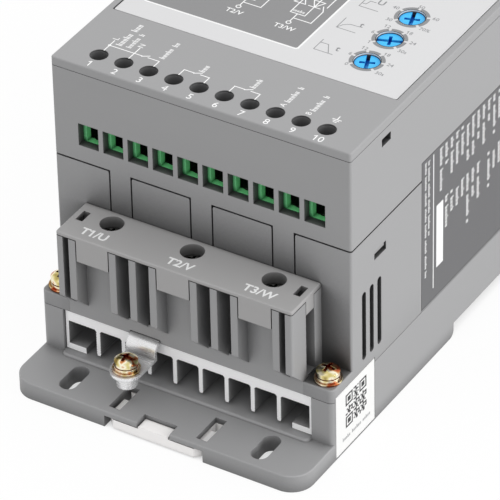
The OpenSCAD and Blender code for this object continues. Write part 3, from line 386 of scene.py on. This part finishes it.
def laminate(name, colour):
    material, bench = new_material(name)
    place = bench.add("ShaderNodeTexCoord", out="Object")
    weave = [bench.add("ShaderNodeTexWave", {"bands_direction": axis},
                       {"Vector": place, "Scale": 160, "Distortion": 0.4}, out="Fac") for axis in ("X", "Y")]
    cloth = 0.5 * weave[0] + 0.5 * weave[1]
    bump = bench.add("ShaderNodeBump", None, {"Strength": 0.2, "Distance": 0.02 * MM, "Height": cloth})
    close_shader(bench, {
        "Base Color": mix_colour(bench, cloth, shade(colour, 0.85), shade(colour, 1.15)),
        "Roughness": 0.3 + 0.1 * cloth,
        "Normal": bump,
    })
    return material


finishes["overlay"] = film("front_film", srgb(214, 214, 215), 0.48, 0.18 * MM, 0.012)
finishes["label"] = film("side_label_film", srgb(94, 94, 96), 0.4, 0.2 * MM, 0.02)
finishes["sticker"] = film("sticker_paper", srgb(240, 240, 239), 0.55, 0.3 * MM, 0.01)
finishes["board"] = laminate("board_laminate", srgb(24, 96, 58))
print("films and laminate:", ", ".join(list(finishes)[-4:]))

# %% [markdown]
# ## Metals
# The heatsink is an aluminium extrusion with sawn ends, the earth strap is tinned steel, and the
# screws wear a yellow passivated zinc whose thin film shimmers from gold to pink and green. Drawn
# and sawn metal has streaks along one direction. They come from a noise whose coordinates are
# squeezed by a Mapping node. Places that aren't open get painted shade, but the sawn ends, which the
# normal tells apart, are kept free of it. A faint glow, painted light, stands for the light that the
# fins throw to each other. The shimmer is a colour ramp over a slow noise.

# %% Streaked metal
PATCH = 9 * MM


def metal(name, colour, gloss, stretch, streak=0.4 * MM, drift=0.06, depth=0.01 * MM, metallic=1.0,
          reach=6 * MM, sawn=0.0, glow=0.0):
    material, bench = new_material(name)
    place = bench.add("ShaderNodeTexCoord", out="Object")
    pulled = bench.add("ShaderNodeMapping", None, {"Vector": place, "Scale": stretch})
    lines = noise(bench, pulled, streak, 3)
    cloud = noise(bench, place, PATCH)
    round_edge = bench.add("ShaderNodeBevel", {"samples": 4}, {"Radius": 0.15 * MM})
    bump = bench.add("ShaderNodeBump", None,
                     {"Strength": 0.4, "Distance": depth, "Height": lines, "Normal": round_edge})
    face = mix_colour(bench, lines, shade(colour, 1 - drift), shade(colour, 1 + drift))
    # Painted shade down to a tenth of the colour where not open; sawn ends facing Y are kept free of it.
    unshaded_share = openness(bench, reach) | sawn * facing(bench, "Y")
    tone = mix_colour(bench, unshaded_share, shade(colour, 0.1), face)
    close_shader(bench, {
        "Base Color": tone,
        "Emission Color": tone,
        "Emission Strength": glow,
        "Metallic": metallic,
        "Roughness": gloss + 0.12 * lines + 0.08 * cloud,
        "Normal": bump,
    })
    return material


print("metal patches of", round(PATCH / MM), "mm")

# %% Shimmering zinc
ZINC_STOPS = [
    (0.30, srgb(128, 108, 54)), (0.42, srgb(216, 200, 132)), (0.52, srgb(252, 246, 222)),
    (0.58, srgb(214, 150, 92)), (0.64, srgb(184, 76, 48)), (0.74, srgb(206, 210, 150)),
]
ZINC_DEEP = srgb(150, 62, 34)


def passivated_zinc(name):
    material, bench = new_material(name)
    place = bench.add("ShaderNodeTexCoord", out="Object")
    shimmer = noise(bench, place, 3.2 * MM, 1)
    skin = noise(bench, place, 0.25 * MM, 2)
    hue = bench.add("ShaderNodeValToRGB", {"stops": ZINC_STOPS}, {"Fac": shimmer})
    film_tone = mix_colour(bench, openness(bench, 1.6 * MM), ZINC_DEEP, hue)
    round_edge = bench.add("ShaderNodeBevel", {"samples": 4}, {"Radius": 0.2 * MM})
    bump = bench.add("ShaderNodeBump", None,
                     {"Strength": 0.3, "Distance": 0.02 * MM, "Height": skin, "Normal": round_edge})
    close_shader(bench, {"Base Color": film_tone, "Metallic": 1, "Roughness": 0.12 + 0.12 * skin,
                         "Normal": bump})
    return material


print("zinc shimmers over", len(ZINC_STOPS), "tones")

# %% The metals of the device
finishes["heatsink"] = metal("extruded_aluminium", srgb(250, 250, 251), 0.36, (1, 0.05, 1), metallic=0.25,
                             reach=16 * MM, sawn=1.0, glow=0.08)
finishes["tin"] = metal("tinned_strap", srgb(238, 238, 239), 0.18, (0.12, 1, 1), 0.5 * MM, drift=0.09,
                        depth=0.004 * MM, metallic=0.6, reach=4 * MM)
finishes["steel"] = metal("nickel_steel", srgb(200, 198, 194), 0.24, (1, 1, 0.2), 0.3 * MM)
finishes["copper"] = metal("bare_copper", srgb(214, 138, 104), 0.28, (1, 0.08, 1))
finishes["zinc_yellow"] = passivated_zinc("yellow_zinc")
print("metals:", ", ".join(list(finishes)[-5:]))

# %% [markdown]
# ## Dressing the CAD nodes
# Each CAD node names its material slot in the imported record, so one loop gives every node its
# finish, and a node that is added later is dressed as well. A finish that bears the name of a node
# goes before that of its slot.

# %% One finish for each slot
for part in frame["record"]["subparts"]:
    mesh = frame["nodes"][part["node"]].data
    mesh.materials.clear()
    mesh.materials.append(finishes.get(part["node"], finishes[part["material_slot"]]))

# %% [markdown]
# ## Printing
# The marks on the device are screen-printed ink a few hundredths of a millimetre thick. They could
# be painted by a texture, but a thin mesh keeps its edges sharp at any zoom. A sheet of print
# gathers bars, arcs, patches and letters on one flat face into one mesh. Its frame says where the
# face is: X runs along a line of text, Y up the letters, and Z out of the face. Where two shapes
# cross, their tops must not lie in one plane, so each is a little thicker than the one before.

# %% Shapes of ink
INK_T = 0.02 * MM
INK_STEP, INK_STEPS = 0.06, 7


class Shapes:
    """Thin ink shapes on one flat face, gathered into one mesh. Lengths are millimetres."""

    def __init__(self, origin, along, upward):
        along, upward = Vector(along), Vector(upward)
        turn = Matrix((along, upward, along.cross(upward))).transposed().to_4x4()
        self.frame = Matrix.Translation(Vector(origin) * MM) @ turn
        self.bm = bmesh.new()
        self.count = 0

    def thickness(self):
        self.count += 1
        return INK_T * (1 + INK_STEP * (self.count % INK_STEPS))

    def keep(self, sheet):
        """Turns a flat sheet of faces into ink of even thickness and takes it over."""
        bmesh.ops.recalc_face_normals(sheet, faces=sheet.faces)
        if sheet.faces[0].normal.z < 0:
            bmesh.ops.reverse_faces(sheet, faces=sheet.faces)
        top = bmesh.ops.extrude_face_region(sheet, geom=sheet.faces[:], use_keep_orig=True)
        raised = [item for item in top["geom"] if isinstance(item, bmesh.types.BMVert)]
        bmesh.ops.translate(sheet, verts=raised, vec=(0, 0, self.thickness()))
        bmesh.ops.recalc_face_normals(sheet, faces=sheet.faces)
        mesh = bpy.data.meshes.new("shape")
        sheet.to_mesh(mesh)
        sheet.free()
        mesh.transform(self.frame)
        self.bm.from_mesh(mesh)
        bpy.data.meshes.remove(mesh)

    def bar(self, start, end, width):
        start, end = Vector(start) * MM, Vector(end) * MM
        middle, run = (start + end) / 2, end - start
        turn = Matrix.Rotation(math.atan2(run.y, run.x), 4, "Z")
        thick = self.thickness()
        size = Matrix.Diagonal((run.length, width * MM, thick, 1))
        spot = Matrix.Translation((middle.x, middle.y, thick / 2))
        bmesh.ops.create_cube(self.bm, size=1, matrix=self.frame @ spot @ turn @ size)

    def line(self, points, width):
        for start, end in zip(points, points[1:]):
            grow = (Vector(end) - Vector(start)).normalized() * width / 2
            self.bar(Vector(start) - grow, Vector(end) + grow, width)

    def arc(self, centre, radius, width, start, end, steps=16):
        sheet = bmesh.new()
        turn = Matrix.Rotation(math.radians(start), 3, "Z")
        ends = [sheet.verts.new(turn @ Vector((radius + side * width / 2, 0, 0)) * MM) for side in (-1, 1)]
        edge = sheet.edges.new(ends)
        bmesh.ops.spin(sheet, geom=ends + [edge], axis=(0, 0, 1), cent=(0, 0, 0),
                       angle=math.radians(end - start), steps=steps, use_merge=end - start >= 360)
        bmesh.ops.translate(sheet, verts=sheet.verts, vec=Vector((*centre, 0)) * MM)
        self.keep(sheet)

    def dot(self, centre, radius):
        sheet = bmesh.new()
        spot = Matrix.Translation(Vector((*centre, 0)) * MM)
        bmesh.ops.create_circle(sheet, cap_ends=True, segments=24, radius=radius * MM, matrix=spot)
        self.keep(sheet)

    def patch(self, low, high, corner):
        sheet = bmesh.new()
        low, high = Vector((*low, 0)) * MM, Vector((*high, 0)) * MM
        spot = Matrix.Translation((low + high) / 2) @ Matrix.Diagonal((*(high - low)[:2], 1, 1))
        bmesh.ops.create_grid(sheet, x_segments=1, y_segments=1, size=0.5, matrix=spot)
        if corner:
            bmesh.ops.bevel(sheet, geom=sheet.verts[:], offset=corner * MM, segments=6, profile=0.5,
                            affect="VERTICES", material=-1)
        self.keep(sheet)


print("ink is", INK_T / MM, "mm thick")

# %% [markdown]
# ## Letters and rows
# Letters come from Blender's own font, made a mesh before their place is applied. That font draws
# the figure one as a plain bar, so the bar is looked for in the mesh and gets the slanting stroke
# that tells a one from an I. Where the device carries words, a row of small plain blocks stands for
# them. A finished sheet becomes one piece, which rides on a body of the CAD frame.

# %% A sheet of print
CAP_HEIGHT, CAP_TOP, STROKE = 0.69, 0.385, 0.098
FLAG_REACH = Vector((0.16, 0.14))
SAME = 0.015
BLOCK_STEP, BLOCK_LOW, BLOCK_W = 0.66, 0.66, 0.17
BLOCK_SHIFT = (0.16, 0.6)
WELD = 1e-7


class Print(Shapes):
    """A sheet of shapes, letters and rows of blocks that becomes one piece."""

    def letters(self, text, centre, height, turn=0, weight=0.0):
        font = bpy.data.curves.new("letters", "FONT")
        font.body = text
        font.align_x = font.align_y = "CENTER"
        font.resolution_u = 3
        font.offset = weight
        font.extrude = 0.5
        holder = bpy.data.objects.new("letters", font)
        mesh = bpy.data.meshes.new_from_object(holder)
        if "1" in text:
            self.flag(mesh, Vector(centre), height / CAP_HEIGHT, weight)
        size = Matrix.Diagonal((height * MM / CAP_HEIGHT, height * MM / CAP_HEIGHT, INK_T, 1))
        spot = Matrix.Translation(Vector((*centre, 0)) * MM + Vector((0, 0, INK_T / 2)))
        mesh.transform(self.frame @ spot @ Matrix.Rotation(math.radians(turn), 4, "Z") @ size)
        self.bm.from_mesh(mesh)
        bpy.data.meshes.remove(mesh)
        bpy.data.objects.remove(holder)
        bpy.data.curves.remove(font)

    def flag(self, mesh, centre, scale, weight):
        """Adds the slanting stroke of each figure one, which Blender's own font draws as a bar."""
        top, foot = CAP_TOP + weight, CAP_TOP - CAP_HEIGHT - weight
        rims = [sorted({round(v.co.x, 2) for v in mesh.vertices if abs(v.co.y - level) < SAME})
                for level in (top, foot)]
        both = [x for x in rims[0] if any(abs(x - other) < SAME for other in rims[1])]
        for left, right in zip(both, both[1:]):
            if STROKE / 2 < right - left < STROKE + 2 * weight + 2 * SAME:
                tip = Vector((left, top - STROKE / 2))
                self.bar(centre + (tip + Vector((STROKE / 2, 0))) * scale,
                         centre + (tip - FLAG_REACH) * scale, (STROKE + weight) * scale)

    def words(self, start, end, height, seed=0):
        """A row of small plain blocks, two to a step, with a gap at every seventh step."""
        start, end = Vector(start), Vector(end)
        along = (end - start).normalized()
        across = Vector((-along.y, along.x))
        step, place, count = height * BLOCK_STEP, 0.0, seed
        while place + step < (end - start).length:
            count += 1
            if count % 7 != 6:
                first = 1.0 if count % 3 == 1 else BLOCK_LOW
                for shift, tall in zip(BLOCK_SHIFT, (first, BLOCK_LOW)):
                    foot = start + along * (place + shift * step) - across * height / 2
                    self.bar(foot, foot + across * tall * height, height * BLOCK_W)
            place += step

    def piece(self, name, material, body, slot):
        mesh = bpy.data.meshes.new(name)
        bmesh.ops.remove_doubles(self.bm, verts=self.bm.verts, dist=WELD)
        self.bm.to_mesh(mesh)
        self.bm.free()
        mesh.materials.append(material)
        thing = bpy.data.objects.new(name, mesh)
        bpy.context.collection.objects.link(thing)
        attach(thing, body)
        print(name, len(mesh.polygons), "faces")
        return thing


print("capitals are", CAP_HEIGHT, "of the font's size")

# %% [markdown]
# ## Inks
# Screen ink is even but not perfect: under a lens its tone drifts and its skin is slightly rough.
# White, grey and dark inks share one recipe.

# %% Inks
def ink(name, colour, gloss=0.5):
    return film(name, colour, gloss, 0.12 * MM, 0.02)


white_ink = ink("white_ink", srgb(244, 244, 244))
grey_ink = ink("grey_ink", srgb(138, 139, 141))
dark_ink = ink("dark_ink", srgb(40, 40, 42))
field_ink = ink("field_ink", srgb(137, 137, 138), 0.45)
print("four inks")

# %% [markdown]
# ## Marks at the control terminals
# In front of each screwdriver hole stands the number of its terminal, and behind the holes thin
# lines join the terminals that belong together: the supply, and two pairs with a contact sign
# between them. Rows of small blocks stand where short words run away from the edge.

# %% Control marks on the top cover
top_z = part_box("top_cover")[1].z / MM
WAY_PITCH = 7.62
NUMBER_Y, LEAD_Y, BRANCH_Y, EARTH_Y = -70.1, -62.9, -60.3, -60.4
LINE_W = 0.3
GATE = 1.9
way_x = [(i - 4.5) * WAY_PITCH for i in range(10)]

marks = Print((0, 0, top_z), (1, 0, 0), (0, 1, 0))
for i, x in enumerate(way_x):
    marks.letters(str(i + 1), (x + 0.1, NUMBER_Y), 2.25, weight=0.006)
for first in (3, 5):
    left, gate, right_x = way_x[first], way_x[first] + 3.0, way_x[first + 1]
    marks.line([(left, LEAD_Y), (left, BRANCH_Y), (gate, BRANCH_Y)], LINE_W)
    marks.line([(gate, BRANCH_Y - 0.2), (gate + GATE, BRANCH_Y + 0.9)], LINE_W)
    marks.line([(gate + GATE, BRANCH_Y), (right_x, BRANCH_Y), (right_x, LEAD_Y)], LINE_W)
marks.line([(way_x[0], LEAD_Y), (way_x[0], -57.9)], LINE_W)
marks.line([(way_x[1], LEAD_Y), (way_x[1], -57.6)], LINE_W)
marks.line([(way_x[0], BRANCH_Y), (way_x[1] + 2.4, BRANCH_Y)], LINE_W)
marks.line([(way_x[1] + 2.4, BRANCH_Y - 0.2), (way_x[1] + 4.2, BRANCH_Y + 0.9)], LINE_W)
marks.line([(way_x[1] + 4.2, BRANCH_Y), (way_x[2], BRANCH_Y), (way_x[2], LEAD_Y)], LINE_W)
marks.dot((way_x[0], BRANCH_Y), 0.45)
marks.letters("L", (way_x[0] - 0.1, -56.8), 1.7, 90)
marks.letters("N", (way_x[1] - 0.1, -56.4), 1.7, 90)
marks.letters("A", (way_x[7], -61.5), 1.6, 90)
marks.letters("B", (way_x[8], -61.5), 1.6, 90)
for width, rise in ((2.4, 0.0), (1.6, 0.6), (0.8, 1.2)):
    marks.line([(way_x[9] - width / 2, EARTH_Y - rise), (way_x[9] + width / 2, EARTH_Y - rise)], LINE_W)
marks.line([(way_x[9], EARTH_Y), (way_x[9], -58.9)], LINE_W)
for x, low, high, size in ((-32.3, -59.2, -47.4, 1.9), (-29.5, -58.9, -50.8, 1.6), (-19.3, -58.9, -50.4, 1.6),
                           (-7.1, -59.0, -55.4, 1.7), (8.1, -58.8, -54.3, 1.7), (19.1, -59.9, -51.4, 1.7),
                           (26.8, -60.1, -51.4, 1.7)):
    marks.words((x, low), (x, high), size)
marks.piece("control_marks", white_ink, "device", "sticker")

# %% [markdown]
# ## Designations on the terminal covers
# Each of the three power terminals is named in bold white letters in front of its screw hole. The
# cover at the line end is the same moulding turned round, so its letters are turned as well.

# %% Letters on the terminal covers
PHASE_PITCH = 24.8
LETTER_REACH = 83.3
LETTER_SHIFT = (-1.35, 0.15, -0.6)
cover_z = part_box("output_terminal_cover")[1].z / MM
for end, names, side in (("output", ("T1/U", "T2/V", "T3/W"), 1), ("line", ("L3", "L2", "L1"), -1)):
    caption = Print((0, 0, cover_z), (side, 0, 0), (0, side, 0))
    for i, name in enumerate(names):
        caption.letters(name, ((i - 1) * PHASE_PITCH + LETTER_SHIFT[i], -LETTER_REACH), 2.7, weight=0.026)
    caption.piece(end + "_cover_letters", white_ink, "device", "sticker")

# %% [markdown]
# ## The circuit field on the front film
# A dark field with a pale outline fills the left of the film. In it, three lines run from the line
# end to the output end, each through a pair of thyristors with a contact beside it that takes over
# once the motor runs. The sign for one phase is drawn once, and repeated.

# %% Dark field
film_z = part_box("front_overlay")[1].z / MM
FIELD = ((-37.9, -37.2), (8.5, 37.2))
EDGE_W = 0.55

outline = Print((0, 0, film_z), (1, 0, 0), (0, 1, 0))
outline.patch([v - EDGE_W for v in FIELD[0]], [v + EDGE_W for v in FIELD[1]], 1.0)
outline.piece("field_outline", white_ink, "device", "overlay")
field = Print((0, 0, film_z + INK_T / MM), (1, 0, 0), (0, 1, 0))
field.patch(FIELD[0], FIELD[1], 0.6)
field.piece("circuit_field", field_ink, "device", "label")

# %% Circuit lines
CIRCUIT_W = 0.3
POLE_X = [0.4 + (i - 2) * 15.3 for i in range(3)]
RING_Y, RING_SIZE, RING_LEAD = (-27.8, 28.6), 0.65, 0.7
BUS_Y, LEG_Y, LEG_X = (-23.2, -10.0), (-20.6, -13.0), 2.2
VALVE_Y, VALVE_H, VALVE_W = -16.8, 1.5, 1.7
BYPASS_Y, BYPASS_X = (-25.4, -6.0), 5.4
CONTACT_Y, CONTACT_X = (-19.2, -17.0), 4.3
diagram = Print((0, 0, film_z + 2 * INK_T / MM), (1, 0, 0), (0, 1, 0))
for x, near, far in zip(POLE_X, ("T1/U", "T2/V", "T3/W"), ("L1", "L2", "L3")):
    diagram.letters(near, (x + 0.2, -30.4), 1.75, weight=0.012)
    diagram.letters(far, (x, 31.4), 1.9, weight=0.012)
    for y in RING_Y:
        diagram.arc((x, y), RING_SIZE, CIRCUIT_W, 0, 360, 20)
    beside = x + BYPASS_X
    diagram.line([(x, RING_Y[0] + RING_LEAD), (x, BUS_Y[0])], CIRCUIT_W)
    diagram.line([(x, BYPASS_Y[0]), (beside, BYPASS_Y[0]), (beside, CONTACT_Y[0])], CIRCUIT_W)
    diagram.line([(beside, CONTACT_Y[0]), (x + CONTACT_X, CONTACT_Y[1])], CIRCUIT_W)
    diagram.line([(beside, CONTACT_Y[1]), (beside, BYPASS_Y[1]), (x, BYPASS_Y[1])], CIRCUIT_W)
    diagram.line([(x, BUS_Y[1]), (x, RING_Y[1] - RING_LEAD)], CIRCUIT_W)
    for leg, bus in zip(LEG_Y, BUS_Y):
        diagram.line([(x - LEG_X, leg), (x - LEG_X, bus), (x + LEG_X, bus), (x + LEG_X, leg)], CIRCUIT_W)
    for valve, point in ((x - LEG_X, 1), (x + LEG_X, -1)):
        base, tip = VALVE_Y - point * VALVE_H, VALVE_Y + point * VALVE_H
        left, right_x = valve - VALVE_W, valve + VALVE_W
        diagram.line([(left, base), (right_x, base), (valve, tip), (left, base)], CIRCUIT_W)
        diagram.line([(left, tip), (right_x, tip)], CIRCUIT_W)
        diagram.line([(valve, LEG_Y[0]), (valve, LEG_Y[1])], CIRCUIT_W)
    diagram.words((x - 2.3, -21.9), (x + 1.8, -21.9), 1.2)
diagram.piece("circuit_lines", white_ink, "device", "overlay")

# %% [markdown]
# ## Scales round the dials
# Each dial sets one value: how long the motor takes to stop, how long it takes to start, and the
# voltage it starts from. A dark printed rim, painted shadow of the gap round the dial, and a grey
# ring with a gap at every value surround it, and the numbers stand outside it. Beside each dial a
# little graph shows what it changes.

# %% Dial scales
SCALE_START, SCALE_SPAN = 225, 267
RING_R, RING_W, NUMBER_R, GAP = 4.34, 0.9, 5.4, 5
RIM_R, RIM_W = 3.72, 0.22
scales = {"ramp_down_dial": ("0", "6", "12", "18", "24", "30s"),
          "ramp_up_dial": ("1", "6", "12", "18", "24", "30s"),
          "start_voltage_dial": ("30", "40", "50", "60", "70%")}

dial_print = Print((0, 0, film_z), (1, 0, 0), (0, 1, 0))
rims = Print((0, 0, film_z), (1, 0, 0), (0, 1, 0))
dial_centre = {}
for node, values in scales.items():
    low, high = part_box(node)
    centre = ((low.x + high.x) / 2 / MM, (low.y + high.y) / 2 / MM)
    dial_centre[node] = centre
    # A dark ring of ink: painted shadow of the gap round the dial
    rims.arc(centre, RIM_R, RIM_W, 0, 360, 48)
    step = SCALE_SPAN / (len(values) - 1)
    angles = [SCALE_START - i * step for i in range(len(values))]
    for start, end in zip(angles[1:] + [SCALE_START - 360], angles):
        dial_print.arc(centre, RING_R, RING_W, start + GAP, end - GAP)
    for value, angle in zip(values, angles):
        aside, ahead = math.cos(math.radians(angle)), math.sin(math.radians(angle))
        shift = (0.8 * len(value) - 0.65) * max(-1, min(1, 2 * aside))
        dial_print.letters(value, (centre[0] + NUMBER_R * aside + shift, centre[1] + NUMBER_R * ahead), 1.3)
rims.piece("dial_shadow_rims", dark_ink, "device", "black_plastic")

# %% Little graphs beside the dials
GRAPH_X, GRAPH_W, GRAPH_H, GRAPH_LINE = 12.4, 5.6, 5.0, 0.2
graphs = {
    "ramp_down_dial": ([(0, 3.6), (2.4, 3.6), (4.4, 0)], "t", (5.6, 3.0)),
    "ramp_up_dial": ([(0, 0), (0.9, 1.7), (1.8, 2.5), (2.8, 2.9), (5.2, 3.0)], "t", (5.4, 4.0)),
    "start_voltage_dial": ([(0, 1.6), (1.2, 1.6), (1.6, 3.4), (3.2, 3.4)], "U", (4.6, 4.0)),
}
for node, (curve, letter, spot) in graphs.items():
    base = (GRAPH_X, dial_centre[node][1] - 2.0)
    place = [[(base[0] + x, base[1] + y) for x, y in points]
             for points in ([(0, GRAPH_H), (0, 0), (GRAPH_W, 0)], curve)]
    for points in place:
        dial_print.line(points, GRAPH_LINE)
    dial_print.letters(letter, (base[0] + spot[0], base[1] + spot[1]), 2.2, weight=0.012)
dial_print.piece("dial_scales", grey_ink, "device", "trimmer")

# %% [markdown]
# ## The side label
# A dark label lies on the right side, and its rows run from top to bottom. They are plain blocks:
# long rows in the upper half and shorter ones below them, beside a line, a fine double row and a
# white field. Blocks that follow a fixed count serve for any label, so the same words method prints
# them all.

# %% Rows on the side label
side_low, side_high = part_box("rating_label")
ROW_TOP, LOWER_TOP, ROW_H = 66.1, 49.2, 1.75
ROW_Y, ROW_PITCH, ROW_COUNT = -25.2, 2.87, 20
UPPER = (13.9, 7.8, 13.6, 11.5, 11.4, 13.1, 13.2, 9.6)
LOWER = (0, 12.1, 7.2, 7.2, 5.9, 16.7, 9.4, 12.0)
rows = Print((side_high.x / MM, 0, 0), (0, 0, -1), (0, 1, 0))
rows.words((-66.0, -33.4), (-28.8, -33.4), 1.1)
rows.words((-65.8, -31.7), (-41.8, -31.7), 1.1, seed=3)
rows.bar((-66.4, -29.4), (-23.2, -29.4), 0.4)
rows.patch((-48.9, -27.8), (-28.9, -24.2), 0.2)
for i in range(ROW_COUNT):
    y = ROW_Y + i * ROW_PITCH
    upper, lower = UPPER[i % len(UPPER)], LOWER[i % len(LOWER)]
    rows.words((-ROW_TOP, y), (-ROW_TOP + upper, y), ROW_H, seed=i)
    if lower:
        rows.words((-LOWER_TOP, y), (-LOWER_TOP + lower, y), ROW_H, seed=i + 2)
rows.piece("label_rows", white_ink, "device", "sticker")

# %% [markdown]
# ## The foot sticker
# A white sticker lies on the side of the foot. It has a plain pattern from a formula: three framed
# squares at the corners of a grid, cells filled by the remainder of a sum, and one row of blocks
# below. A formula needs no picture, and gives the same pattern each time.

# %% Pattern on the foot sticker
CELL, CELLS, CORNER = 0.51, 21, 7
FRAME = ((0.5, 0.5), (6.5, 0.5), (6.5, 6.5), (0.5, 6.5), (0.5, 0.5))
CODE_LOW = Vector((-75.4, 7.1))
face_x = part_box("code_sticker")[1].x / MM
code = Print((face_x, 0, 0), (0, 1, 0), (0, 0, 1))
corners = [(0, 0), (0, CELLS - CORNER), (CELLS - CORNER, CELLS - CORNER)]


def in_corner(column, row):
    return any(c - 1 <= column <= c + CORNER and r - 1 <= row <= r + CORNER for c, r in corners)


for c, r in corners:
    low = CODE_LOW + Vector((c, r)) * CELL
    code.line([low + Vector(point) * CELL for point in FRAME], CELL)
    code.patch(low + Vector((2, 2)) * CELL, low + Vector((5, 5)) * CELL, 0)
for row in range(CELLS):
    for column in range(CELLS):
        if not in_corner(column, row) and (column * column + 3 * row * column + 5 * row) % 7 in (0, 2, 5):
            start = CODE_LOW + Vector((column, row + 0.5)) * CELL
            code.bar(start, start + Vector((CELL, 0)), CELL)
code.piece("sticker_pattern", dark_ink, "device", "black_plastic")
code_row = Print((face_x, 0, 0), (0, 1, 0), (0, 0, 1))
code_row.words((-77.0, 4.2), (-62.1, 4.2), 1.2)
code_row.piece("sticker_row", grey_ink, "device", "trimmer")
